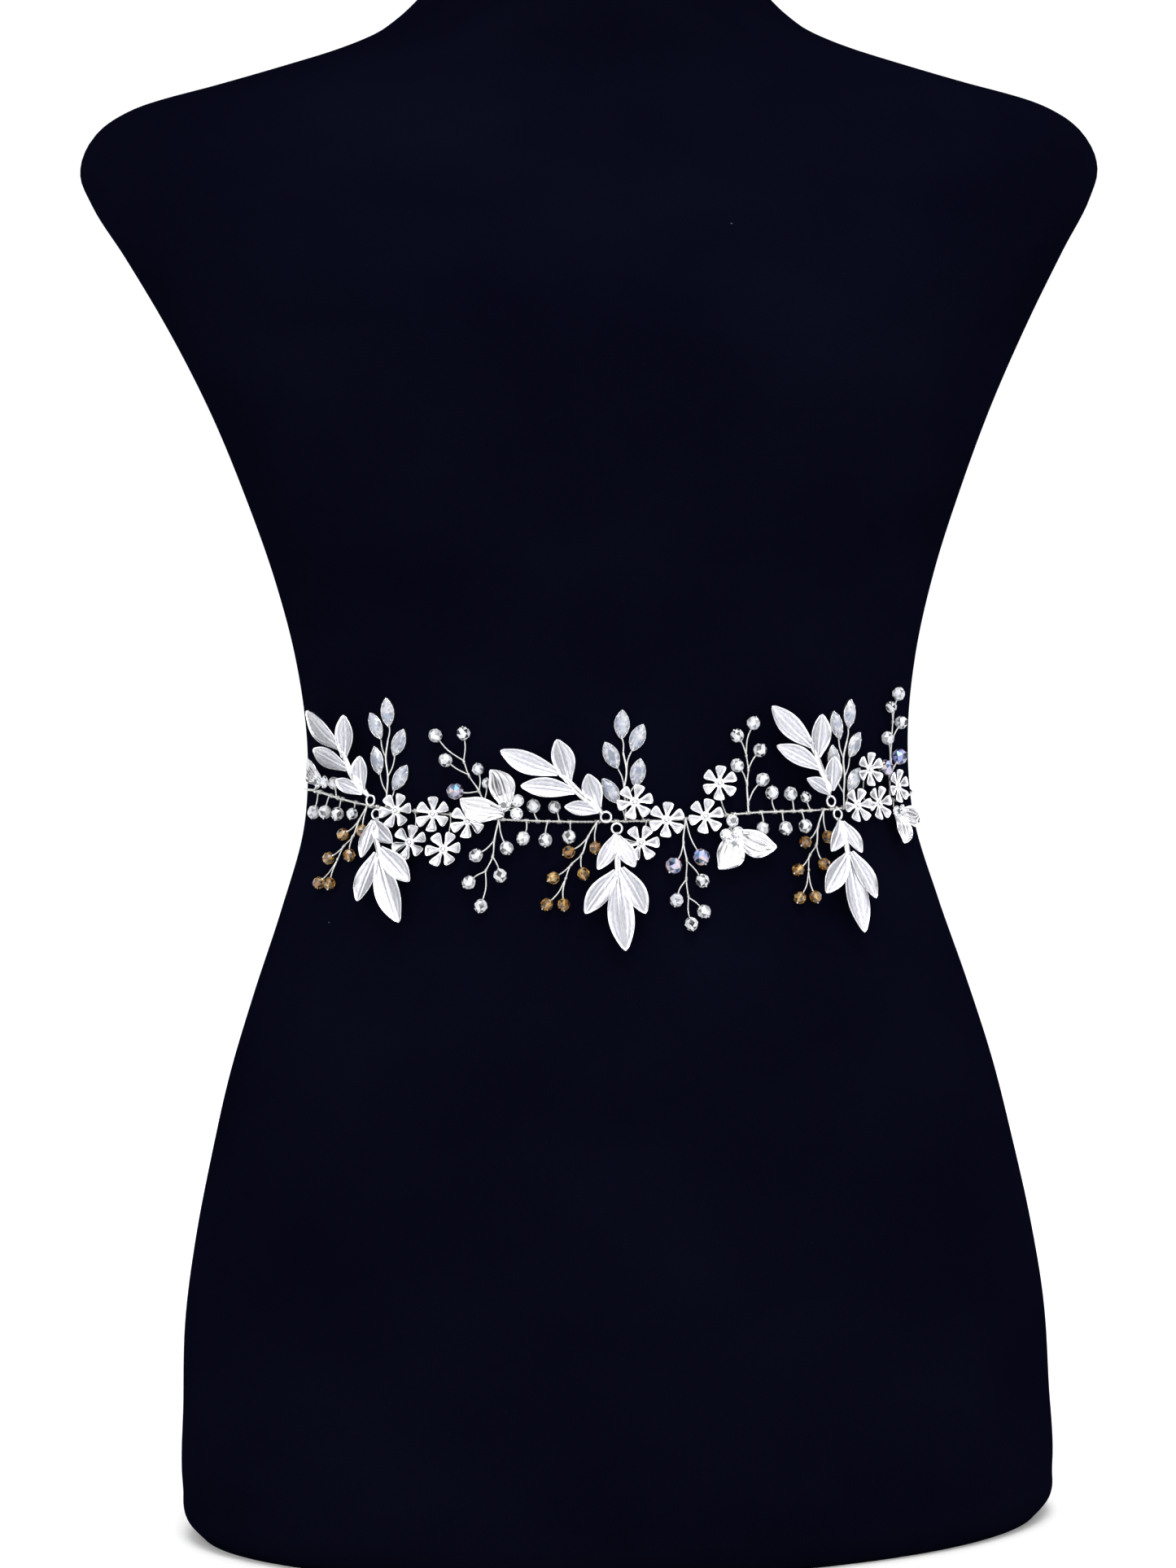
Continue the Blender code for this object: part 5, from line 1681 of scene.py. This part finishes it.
@dataclass(frozen=True)
class OpalSprig:
    """An upright sprig of pointed oval stones in thin silver settings.

    Attributes:
        item: its placement.
        length: length of a stone, mm.
        width: width of a stone, mm.
        top: height of the stones' tables above the skin, mm.
    """

    item: Placement
    length: float = 11.0
    width: float = 5.6
    top: float = 3.1

    def oval(self, count: int = 18, shift: float = 0.0) -> Array:
        """Outline of a stone: length cos(a), width sin(a) (0.22 + 0.78 |sin(a)|), so its ends are pointed."""
        a = 2 * math.pi * (np.arange(count) + shift) / count
        x = np.cos(a)
        y = np.sin(a) * (0.22 + 0.78 * np.abs(np.sin(a)))
        return np.stack([x * self.length / 2, y * self.width / 2], axis=-1)

    def stone(self, place: Place, lean: float) -> tuple[Shell, list[Shell]]:
        """A stone and its setting.

        Args:
            place: (s, h) of its middle.
            lean: degrees to the right of upright.

        Returns:
            The stone's shell and the shells of its setting.
        """
        middle, along, up, outward = SKIN.axes((place[0], place[1], GAP))
        tilt = math.radians(lean)
        length_way = up * math.cos(tilt) + along * math.sin(tilt)
        width_way = along * math.cos(tilt) - up * math.sin(tilt)

        def ring(out: float, size: float, shift: float = 0.0, grow: float = 0.0) -> Array:
            """The outline at one height, scaled and widened."""
            flat = self.oval(shift=shift) * size
            flat = flat + unit(flat) * grow
            return middle + flat[:, :1] * length_way + flat[:, 1:] * width_way + out * outward

        rise = self.top - GAP
        levels = ((0.35, 0.72), (1.25, 0.98), (1.6, 0.99), (rise - 0.35, 0.74), (rise, 0.46))
        stone = faceted([ring(out, size, 0.5 * (k % 2)) for k, (out, size) in enumerate(levels)])
        walls = ((0.0, 0.86, 0.0), (0.0, 1.0, 0.18), (1.5, 1.0, 0.30), (1.62, 1.0, 0.12), (1.4, 1.0, 0.02), (0.2, 0.7, 0.0))
        rings = [ring(out, size, 0.0, grow) for out, size, grow in walls]
        points = np.concatenate(rings)
        count = len(rings[0])
        faces = [grid_quads(len(rings), count, ring=True)]
        faces.append(np.arange(count)[None, ::-1])
        faces.append((len(rings) - 1) * count + np.arange(count)[None, :])
        setting = [Shell(points, faces, points[:, :2].copy(), np.full(len(points), 0.75))]
        for along_share, across in ((0.62, 0.66), (0.62, -0.66), (-0.62, 0.66), (-0.62, -0.66), (0.99, 0.0), (-0.99, 0.0)):
            foot = length_way * along_share * self.length / 2 + width_way * across * self.width / 2
            spoke = unit(foot)
            bends = ((1.06, 0.9), (1.08, 1.6), (0.96, 2.0), (0.80, 2.22))
            line = np.array([middle + foot * size + out * outward for size, out in bends])
            cross = np.cross(outward, spoke)
            ahead = unit(np.gradient(line, axis=0))
            first = np.tile(cross, (len(line), 1))
            setting.append(tube(line, first, np.cross(ahead, first), (0.2, 0.22, 0.2, 0.1), 6))
        return stone, setting

    def build(self) -> None:
        """Build the stem, the settings and the stones."""
        item = self.item
        stem_places = [(*turned(item, point), WIRE_OUT) for point in OPAL_STEM]
        stem = WirePath(stem_places)
        thick = Twist(0.21, 0.22, 2.3, strands=3, sides=5, per_turn=7)
        wires = thick.wind(stem)
        stones, settings = [], []
        for number, shape in enumerate(OPAL_STONES):
            s, h = turned(item, (shape.s, shape.h))
            lean = shape.lean * item.mirror - item.turn
            tilt = math.radians(lean)
            foot = (s - 4.6 * math.sin(tilt), h - 4.6 * math.cos(tilt), 1.3)
            start = stem_places[shape.origin]
            way = np.array(foot) - np.array(start)
            bend = (np.array(start) + np.array(foot)) / 2 + np.array([way[1], -way[0], 0.0]) * 0.07 * (-1) ** number
            wires.extend(STALK_TWIST.wind(WirePath([start, bend, foot])))
            stone, setting = self.stone((s, h), lean)
            stones.append(stone)
            settings.extend(setting)
        place_piece(f"{item.name}_wire", wires, WIRE_SILVER, [item.name])
        place_piece(f"{item.name}_settings", settings, PETAL_SILVER, [item.name])
        place_piece(f"{item.name}_stones", stones, OPAL, [item.name])


@dataclass(frozen=True)
class LeafCluster:
    """Broad folded leaves and small round stones in cups."""

    shape: ClusterShape
    press: LeafPress = LeafPress(
        rows=40, columns=41, thickness=0.5, cup=0.9, rim=0.30, rib=0.20, fold=0.30, grooves=2, curl=1.2, sway=0.05,
        hook=-1.7
    )
    stone_radius: float = 2.2

    def build(self) -> None:
        """Build the leaves, the wire, the cups and the stones."""
        item = self.shape
        places = [(s, h, WIRE_OUT) for s, h in item.stem]
        places[0] = on_vine(item.stem[0][0])
        wires = STALK_TWIST.wind(WirePath(places))
        plates = []
        for number, shape in enumerate(item.leaves):
            base = np.array([shape.base_s, shape.base_h])

            def lift(spots: Array, base: Array = base, nudge: float = 0.1 * number) -> Array:
                """Height of this leaf: it rises over its first 5 mm."""
                away = np.linalg.norm(spots - base, axis=-1)
                return WIRE_OUT + 0.4 + 1.9 * np.minimum(1.0, away / 5.0) + nudge

            plates.append(self.press.press(shape, lift, (1.0, -1.0)[number % 2]))
        cups, stones = [], []
        hub = np.array(item.stem[1])
        for place in item.stones:
            if math.dist(place, item.stem[1]) > 0.6:
                wires.extend(STALK_TWIST.wind(WirePath([(*hub, WIRE_OUT), (*place, WIRE_OUT)])))
            cups.extend(stone_cup(place, self.stone_radius, WIRE_OUT - 0.2))
            stones.append(cut_chaton(place, self.stone_radius, WIRE_OUT - 0.1))
        place_piece(f"{item.name}_leaves", plates, FOLDED_SILVER, [item.name])
        place_piece(f"{item.name}_wire", wires, WIRE_SILVER, [item.name])
        place_piece(f"{item.name}_cups", cups, PETAL_SILVER, [item.name])
        place_piece(f"{item.name}_stones", stones, CUP_STONE, [item.name])


# ---------------------------------------------------------------- main wire


@dataclass(frozen=True)
class VineWire:
    """The main wire with an eyelet at each end and bindings where sprigs join.

    Attributes:
        eyelet_radius: radius of an eyelet, mm.
        eyelet_wire: radius of its wire, mm.
        eyelet_out: how far out an eyelet lies, mm.
    """

    eyelet_radius: float = 4.5
    eyelet_wire: float = 0.55
    eyelet_out: float = 2.3

    def bound_at(self) -> list[float]:
        """Places along the waist where a sprig or flower is bound on."""
        places = [item.s for item in UPPER_SPRAYS + LOWER_SPRAYS + TOPAZ_SPRIGS + OPAL_SPRIGS]
        places += [item.stem[0][0] for item in CRYSTAL_SPRIGS + LEAF_CLUSTERS]
        places += [item.wire_s for item in FLOWERS]
        places += [bead.foot_s for row in BEAD_ROWS for bead in row.beads]
        return sorted(places)

    def build(self) -> None:
        """Build the wire, the eyelets and the bindings."""
        first, last = VINE_ROUTE[0].s, VINE_ROUTE[-1].s
        stations = np.linspace(first, last, 60)
        outs = np.full(60, VINE_OUT)
        outs[0] = outs[-1] = self.eyelet_out
        outs[1] = outs[-2] = (VINE_OUT + self.eyelet_out) / 2
        path = WirePath(np.stack([stations, vine_height(stations), outs], axis=-1))
        shells = MAIN_TWIST.wind(path)
        reach = np.interp(self.bound_at(), stations, np.interp(stations, stations, stations))
        scale = path.length / (last - first)
        for s in reach:
            at = (s - first) * scale
            if 2.0 < at < path.length - 2.0:
                shells.extend(BINDING.wind(path, at - 0.9, at + 0.9))
        for s, side in ((first, -1), (last, 1)):
            place = (s + side * self.eyelet_radius, float(vine_height(s)), self.eyelet_out)
            middle, along, up, outward = SKIN.axes(place)
            shells.append(torus(middle, (along, up, outward), self.eyelet_radius, self.eyelet_wire, 44))
            tail_at = 0.4 if side < 0 else path.length - 3.6
            shells.extend(Twist(0.24, 0.95, 0.55, strands=1, sides=6, per_turn=12).wind(path, tail_at, tail_at + 3.2))
        place_piece("vine_wire_twisted", shells, WIRE_SILVER, ["vine_wire"])


# ---------------------------------------------------------------- ribbon


class Side(Enum):
    """Which side of the form, as seen from the front."""

    LEFT = -1
    RIGHT = 1


class RibbonPoint(NamedTuple):
    """One place on a band: along the waist from the eyelet, out, and its width."""

    along: float
    out: float
    width: float


@dataclass(frozen=True)
class SatinRibbon:
    """The ribbon that closes the sash: two bands, a knot and two tails.

    Attributes:
        width: width of the ribbon, mm.
        thickness: thickness of the visible cloth, mm.
        knot_half: half sizes of the knot, mm.
        tail_length: length of a tail, mm.
    """

    width: float = 14.0
    thickness: float = 0.5
    knot_half: tuple = (9.0, 4.5, 8.5)
    tail_length: float = 185.0

    def band_route(self, eyelet: float) -> list[RibbonPoint]:
        """Places on a band, from its folded-back end through the eyelet to the knot."""
        fold_out = 2.3 + 0.6 + GAP + 0.1 + 0.5
        flat_out = GAP + 0.5
        route = [
            RibbonPoint(19.0, fold_out, 12.0),
            RibbonPoint(12.0, fold_out, 9.6),
            RibbonPoint(6.5, fold_out, 6.6),
            RibbonPoint(3.0, fold_out, 5.6),
            RibbonPoint(1.3, fold_out - 0.5, 5.4),
            RibbonPoint(0.9, 2.3, 5.4),
            RibbonPoint(1.3, flat_out + 0.5, 5.4),
            RibbonPoint(3.0, flat_out, 5.6),
            RibbonPoint(7.5, flat_out, 7.0),
            RibbonPoint(13.0, flat_out, 10.4),
            RibbonPoint(20.0, flat_out, self.width),
        ]
        reach = SKIN.half_girth - abs(eyelet) - self.knot_half[0] - GAP
        for share in np.linspace(0.22, 1.0, 15):
            width = self.width if share < 0.95 else self.width - 2.0
            route.append(RibbonPoint(reach * share, flat_out, width))
        return route

    def strip(self, places: Array, widths: Array, first_h: float, last_h: float) -> tuple[Shell, float]:
        """Ribbon along (s, w) places, gathered into pleats where it is narrow.

        Across u it lies at h + u width / 2, and its face moves along the place's normal by
        pleat cos(5 pi u), where the pleat grows as the width shrinks.

        Args:
            places: n x 2 places (s, w).
            widths: n widths, mm.
            first_h: height of its first end.
            last_h: height of its last end.

        Returns:
            The ribbon's shell and its length in mm.
        """
        ahead = unit(np.gradient(places, axis=0))
        normal = np.stack([-ahead[:, 1], ahead[:, 0]], axis=1)
        u = np.linspace(-1.0, 1.0, 25)
        run = np.concatenate([[0.0], np.cumsum(np.linalg.norm(np.diff(places, axis=0), axis=1))])
        pleat = 0.42 * np.clip(1.0 - widths / self.width, 0.0, 1.0)[:, None] * np.cos(5 * math.pi * u)[None, :]
        wave = 0.14 * np.sin(run / 9.0)[:, None] * (u**2)[None, :] + 0.08 * np.cos(4 * u + run[:, None] / 21.0)
        heights = np.linspace(first_h, last_h, len(places))[:, None] + u[None, :] * widths[:, None] / 2
        edge = np.exp(-(((1 - np.abs(u)) * 7.0 / 0.5) ** 2))[None, :]
        faces = []
        for sign in (1.0, -1.0):
            shift = sign * (self.thickness / 2 - 0.06 * edge) + pleat + wave
            s = places[:, :1] + normal[:, :1] * shift
            w = places[:, 1:] + normal[:, 1:] * shift
            faces.append(SKIN.wrap(np.stack([s, heights, w], axis=-1)))
        uv = np.stack(np.broadcast_arrays(u[None, :] * self.width / 2, run[:, None]), axis=-1)
        relief = np.broadcast_to(0.5 + 0.4 * edge, uv.shape[:2])
        return plate(faces[0], faces[1], uv, relief), float(run[-1])

    def band(self, side: Side) -> bpy.types.Object:
        """One band, from its eyelet to the knot."""
        end = VINE_ROUTE[0] if side is Side.LEFT else VINE_ROUTE[-1]
        eyelet = end.s + side.value * 4.5
        route = np.array(self.band_route(eyelet), dtype=float)
        places = np.stack([eyelet + side.value * route[:, 0], route[:, 1]], axis=-1)
        run = np.concatenate([[0.0], np.cumsum(np.linalg.norm(np.diff(places, axis=0), axis=1))])
        dense = np.unique(np.concatenate([np.linspace(0, 46, 90), np.linspace(46, run[-1], 110)]))
        line = np.stack([smooth(run, places[:, i], dense) for i in range(2)], axis=-1)
        widths = smooth(run, route[:, 2], dense)
        shell, length = self.strip(line, widths, end.h, 0.0)
        name = f"ribbon_band_{side.name.lower()}"
        made = place_piece(f"{name}_satin", [shell], SATIN, [name])
        return made

    def knot(self) -> bpy.types.Object:
        """The knot: a soft pillow of ribbon with a second turn drawn slantwise over it."""
        back = SKIN.skin(math.pi, SKIN.waist_height)
        half_x, half_y, half_z = self.knot_half
        middle = back + (0.0, GAP + half_y + 0.9, 0.0)
        rows, columns = 40, 72
        a = np.linspace(-1.0, 1.0, rows)[:, None]
        turn = (2 * math.pi * np.arange(columns) / columns)[None, :]
        size = (1 - np.abs(a) ** 3.0 * 0.72) ** 0.5
        folds = 1 + 0.045 * np.sin(7 * turn + 2.4 * a) * (1 - a**4) - 0.03 * np.cos(3 * turn - 4 * a)
        x = (half_x - 0.5) * size * np.sign(np.cos(turn)) * np.abs(np.cos(turn)) ** 0.75 * folds
        z = (half_z - 0.5) * size * np.sign(np.sin(turn)) * np.abs(np.sin(turn)) ** 0.75 * folds
        y = np.broadcast_to(a * (half_y - 0.3), x.shape)
        points = (middle + np.stack([x, y, z], axis=-1)).reshape(-1, 3)
        faces = [grid_quads(rows, columns, ring=True)]
        faces.append(np.arange(columns)[None, ::-1])
        faces.append((rows - 1) * columns + np.arange(columns)[None, :])
        uv = np.stack(np.broadcast_arrays(a * 8.0, turn * 8.0), axis=-1).reshape(-1, 2)
        shells = [Shell(points, faces, uv, np.full(len(points), 0.5))]
        shells.append(self.cross_turn(middle))
        return place_piece("ribbon_knot_satin", shells, SATIN, ["ribbon_knot"])

    def cross_turn(self, middle: Array) -> Shell:
        """Band drawn over the knot: a strip bent over it in z, gathered into three pleats."""
        half_x, half_y, half_z = self.knot_half
        a = np.linspace(-1.0, 1.0, 41)[:, None]
        u = np.linspace(-1.0, 1.0, 21)[None, :]
        bend = a * math.pi * 0.5
        z = (half_z + 0.1) * np.sin(bend) + 0 * u
        lift = (half_y + 0.1) * np.cos(bend) ** 0.6 - 0.2
        pleat = 0.28 * np.cos(3 * math.pi * u)
        x = u * (4.8 - 1.6 * np.abs(a) ** 3) + 1.8 * a
        sides = []
        for thick in (0.3, -0.3):
            y = lift + (pleat + thick) * np.cos(bend)
            sides.append(middle + np.stack(np.broadcast_arrays(x, y, z), axis=-1))
        uv = np.stack(np.broadcast_arrays(u * 7.0, a * 12.0), axis=-1)
        return plate(sides[0], sides[1], uv, np.full(uv.shape[:2], 0.6))

    def tail(self, side: Side) -> bpy.types.Object:
        """A tail that hangs down the back with a soft wave and a slanted end."""
        value = side.value
        top_h = -self.knot_half[2] - GAP - 0.2
        t = np.linspace(0.0, 1.0, 90)[:, None]
        u = np.linspace(-1.0, 1.0, 25)[None, :]
        centre = 7.4 + 13.0 * t**1.3
        width = 9.0 + (self.width - 9.0) * np.minimum(1.0, t * 8)
        out = GAP + 0.5 + 1.2 * np.sin(math.pi * t) * (1 + 0.4 * value)
        pleat = 0.34 * np.clip(1 - t * 4, 0.0, 1.0) * np.cos(3 * math.pi * u)
        roll = 0.25 * np.sin(2.2 * math.pi * t + value) * u
        s = SKIN.half_girth - centre + u * width / 2
        slant = 9.0
        h = top_h - self.tail_length * t + slant * u * t**6
        edge = np.exp(-(((1 - np.abs(u)) * 7.0 / 0.5) ** 2))
        faces = []
        for sign in (1.0, -1.0):
            w = out + pleat + roll + sign * (self.thickness / 2 - 0.06 * edge)
            faces.append(SKIN.wrap(np.stack(np.broadcast_arrays(value * s, h, w), axis=-1)))
        uv = np.stack(np.broadcast_arrays(u * self.width / 2, t * self.tail_length), axis=-1)
        relief = np.broadcast_to(0.5 + 0.4 * edge, uv.shape[:2])
        name = f"ribbon_tail_{side.name.lower()}"
        made = place_piece(f"{name}_satin", [plate(faces[0], faces[1], uv, relief)], SATIN, [name])
        return made

    def build(self) -> None:
        """Build the bands, the knot and the tails."""
        for side in Side:
            self.band(side)
        self.knot()
        for side in Side:
            self.tail(side)


# ---------------------------------------------------------------- the form


@dataclass(frozen=True)
class DressForm:
    """The limbless form in its close-knit cover.

    Attributes:
        columns: points round the form before the seams are added.
        rows: points up the form.
        seam_depth: depth of a seam, mm.
        seam_width: half width of a seam, mm.
    """

    columns: int = 150
    rows: int = 210
    seam_depth: float = 0.45
    seam_width: float = 1.1

    def build(self) -> None:
        """Build the skin with seams at both sides and centre back, a neck cap and a base.

        The skin is the form's own surface, drawn in by a bell-shaped groove of seam_depth
        at each seam. The last rows close the neck and the base in flat discs.
        """
        seams = np.array([-math.pi / 2, math.pi / 2, math.pi])
        fine = np.array([-2.4, -1.6, -1.0, -0.5, 0.0, 0.5, 1.0, 1.6, 2.4]) * 0.006
        extra = (seams[:, None] + fine[None, :]).ravel()
        plain = 2 * math.pi * np.arange(self.columns) / self.columns - math.pi
        wrapped = (np.concatenate([plain, extra]) + math.pi) % (2 * math.pi) - math.pi
        angles = np.unique(np.round(wrapped, 5))
        levels = np.unique(
            np.concatenate([np.linspace(0, 690, self.rows), np.linspace(0, 12, 9), np.linspace(575, 625, 40)])
        )
        aa, zz = np.meshgrid(angles, levels, indexing="xy")
        points = SKIN.skin(aa, zz)
        normal = SKIN.normal(aa, np.clip(zz, 0.6, 689.4))
        away = np.abs((aa[..., None] - seams + math.pi) % (2 * math.pi) - math.pi).min(axis=-1) * 150.0
        groove = np.exp(-((away / self.seam_width) ** 2)) - 0.45 * np.exp(-(((away - 2.3) / 0.9) ** 2))
        points = points - normal * (self.seam_depth * groove)[..., None]
        arc = np.interp(aa, SKIN.angles, SKIN.arc)
        uv = np.stack([arc, zz], axis=-1)
        columns = len(angles)
        rings = [points.reshape(-1, 3)]
        flats = [uv.reshape(-1, 2)]
        for z, edge_z, row in ((690.0, 1.2, -1), (0.0, 0.0, 0)):
            centre = points[row].mean(axis=0)
            for share in (0.97, 0.9, 0.6, 0.3, 0.05):
                ring = centre + (points[row] - centre) * share
                ring[:, 2] = z + edge_z * (1 - share**6)
                rings.append(ring)
                flats.append(ring[:, :2].copy())
        count = len(levels) * columns
        faces = [grid_quads(len(levels), columns, ring=True)]
        top = np.concatenate([[count - columns + np.arange(columns)], count + np.arange(5 * columns).reshape(5, -1)])
        low_start = count + 5 * columns
        low = np.concatenate([[np.arange(columns)], low_start + np.arange(5 * columns).reshape(5, -1)])
        for stack in (top, low):
            after = np.roll(stack, -1, axis=1)
            faces.append(np.stack([stack[:-1], after[:-1], after[1:], stack[1:]], axis=-1).reshape(-1, 4))
            faces.append(stack[-1][None, :])
        body = np.concatenate(rings)
        relief = np.full(len(body), 0.5)
        relief[: groove.size] = np.clip(0.5 - 0.9 * groove, 0.0, 1.0).ravel()
        shell = Shell(body, faces, np.concatenate(flats), relief)
        place_piece("form_cover", [shell], JERSEY, ["dress_form"])


# ---------------------------------------------------------------- the studio


@dataclass(frozen=True)
class StudioCamera:
    """The camera at the photograph's place; lengths in mm, angles in degrees."""

    distance: float = 1300.0
    aside: float = -8.54
    height: float = 302.67
    azimuth: float = -4.0
    roll: float = 1.0
    lens: float = 72.5

    def build(self) -> None:
        """Set the camera level, turned to the azimuth and rolled a little."""
        a, r = math.radians(self.azimuth), math.radians(self.roll)
        back = np.array([math.sin(a), -math.cos(a), 0.0])
        right = np.array([math.cos(a), math.sin(a), 0.0])
        up = np.array([0.0, 0.0, 1.0])
        spot = back * self.distance + right * self.aside + up * self.height
        spot[1] -= SKIN.back_shift
        turned_right = right * math.cos(r) - up * math.sin(r)
        turned_up = up * math.cos(r) + right * math.sin(r)
        data = bpy.data.cameras.new("camera")
        data.lens = self.lens
        data.sensor_width = 36.0
        data.clip_start, data.clip_end = 0.01, 50.0
        camera = bpy.data.objects.new("camera", data)
        bpy.context.scene.collection.objects.link(camera)
        matrix = Matrix.Identity(4)
        for column, axis in enumerate((turned_right, turned_up, back, spot * MM)):
            for row in range(3):
                matrix[row][column] = float(axis[row])
        camera.matrix_world = matrix
        bpy.context.scene.camera = camera


class Lamp(NamedTuple):
    """A soft rectangular lamp: its place, size, watts and what it points at."""

    name: str
    place: tuple
    size: float
    power: float


LAMPS = (
    Lamp("key_left", (-1.5, -1.9, 1.6), 1.0, 9.0),
    Lamp("fill_right", (1.8, -1.7, 1.1), 1.2, 5.0),
    Lamp("front_top", (0.1, -1.1, 1.9), 0.8, 19.0),
    Lamp("sparkle_left", (-0.7, -1.6, 0.75), 0.12, 1.2),
    Lamp("sparkle_right", (0.6, -1.5, 0.15), 0.12, 0.9),
    Lamp("back_wash", (0.0, 2.2, 1.6), 1.5, 18.0),
)


@dataclass(frozen=True)
class Studio:
    """Pale floor, white surround and soft lamps.

    Attributes:
        surround: brightness of the surround on the floor and the cloth.
        horizon: brightness that shiny pieces mirror level with them.
        ceiling: brightness that they mirror from above.
        floor_half: half size of the floor, m.
    """

    surround: float = 1.05
    horizon: float = 0.45
    ceiling: float = 1.25
    floor_half: float = 9.0

    def build(self) -> None:
        """Make the floor, the surround and the lamps."""
        half = self.floor_half
        mesh = bpy.data.meshes.new("floor")
        mesh.from_pydata([(-half, -half, 0), (half, -half, 0), (half, half, 0), (-half, half, 0)], [], [(0, 1, 2, 3)])
        mesh.materials.append(FLOOR.material())
        floor = bpy.data.objects.new("floor", mesh)
        bpy.context.scene.collection.objects.link(floor)
        world = bpy.data.worlds.new("surround")
        bpy.context.scene.world = world
        world.use_nodes = True
        tree = Tree(world.node_tree)
        ray = tree.add("ShaderNodeLightPath")
        around = tree.add("ShaderNodeTexCoord").outputs["Generated"]
        way = tree.add("ShaderNodeSeparateXYZ", {0: around})
        rise = tree.spread(way.outputs["Z"], -0.05, 0.75, self.horizon, self.ceiling)
        flank = tree.spread(tree.value("ABSOLUTE", way.outputs["X"]), 0.25, 0.8, 0.0, 0.35)
        window = tree.add("ShaderNodeTexVoronoi", {"Vector": around, "Scale": 3.4}).outputs["Color"]
        window = tree.spread(tree.add("ShaderNodeSeparateXYZ", {0: window}).outputs["X"], 0.44, 0.5, 0.12, 1.9)
        mirrored = tree.value("MULTIPLY", tree.value("ADD", rise, flank), window)
        plain = tree.value("MAXIMUM", ray.outputs["Is Camera Ray"], ray.outputs["Is Diffuse Ray"])
        strength = tree.value("MULTIPLY", plain, self.surround)
        strength = tree.value("MULTIPLY_ADD", tree.value("SUBTRACT", 1.0, plain), mirrored, strength)
        shade = tree.add("ShaderNodeBackground", {"Color": (1.0, 1.0, 1.0, 1.0), "Strength": strength})
        tree.add("ShaderNodeOutputWorld", {"Surface": shade.outputs["Background"]})
        bpy.context.scene.view_settings.view_transform = "Standard"
        for lamp in LAMPS:
            data = bpy.data.lights.new(lamp.name, "AREA")
            data.shape = "SQUARE"
            data.size = lamp.size
            data.energy = lamp.power
            made = bpy.data.objects.new(lamp.name, data)
            bpy.context.scene.collection.objects.link(made)
            made.location = lamp.place
            way = np.array([0.0, -0.05, 0.32]) - np.array(lamp.place)
            pitch = math.acos(-way[2] / np.linalg.norm(way))
            made.rotation_euler = (pitch, 0.0, math.atan2(way[1], way[0]) - math.pi / 2)


# ---------------------------------------------------------------- all together


def build_sash() -> None:
    """Build every sub-assembly of the sash, the ribbon last."""
    VineWire().build()
    for item in UPPER_SPRAYS:
        LeafSpray(item, UPPER_SPRAY_LEAVES, UPPER_SPRAY_STEM).build()
    for item in LOWER_SPRAYS:
        LeafSpray(item, LOWER_SPRAY_LEAVES, LOWER_SPRAY_STEM).build()
    for item in TOPAZ_SPRIGS:
        stem = tuple(turned(item, point) for point in TOPAZ_STEM)
        beads = tuple(Bead(*turned(item, (b.s, b.h)), b.radius, b.origin) for b in TOPAZ_BEADS)
        BeadSprig(item.name, stem, beads, TOPAZ).build()
    for item in OPAL_SPRIGS:
        OpalSprig(item).build()
    for item in CRYSTAL_SPRIGS:
        BeadSprig(item.name, item.stem, item.beads, CRYSTAL, AURORA).build()
    for item in BEAD_ROWS:
        BeadRow(item).build()
    for item in FLOWERS:
        SilverFlower(item).build()
    for item in LEAF_CLUSTERS:
        LeafCluster(item).build()
    SatinRibbon().build()


def main() -> None:
    """Build the scene: camera first, then the studio, the form and the sash."""
    logging.basicConfig(level=logging.INFO, format="%(name)s: %(message)s")
    StudioCamera().build()
    Studio().build()
    DressForm().build()
    build_sash()


if __name__ == "__main__":
    main()
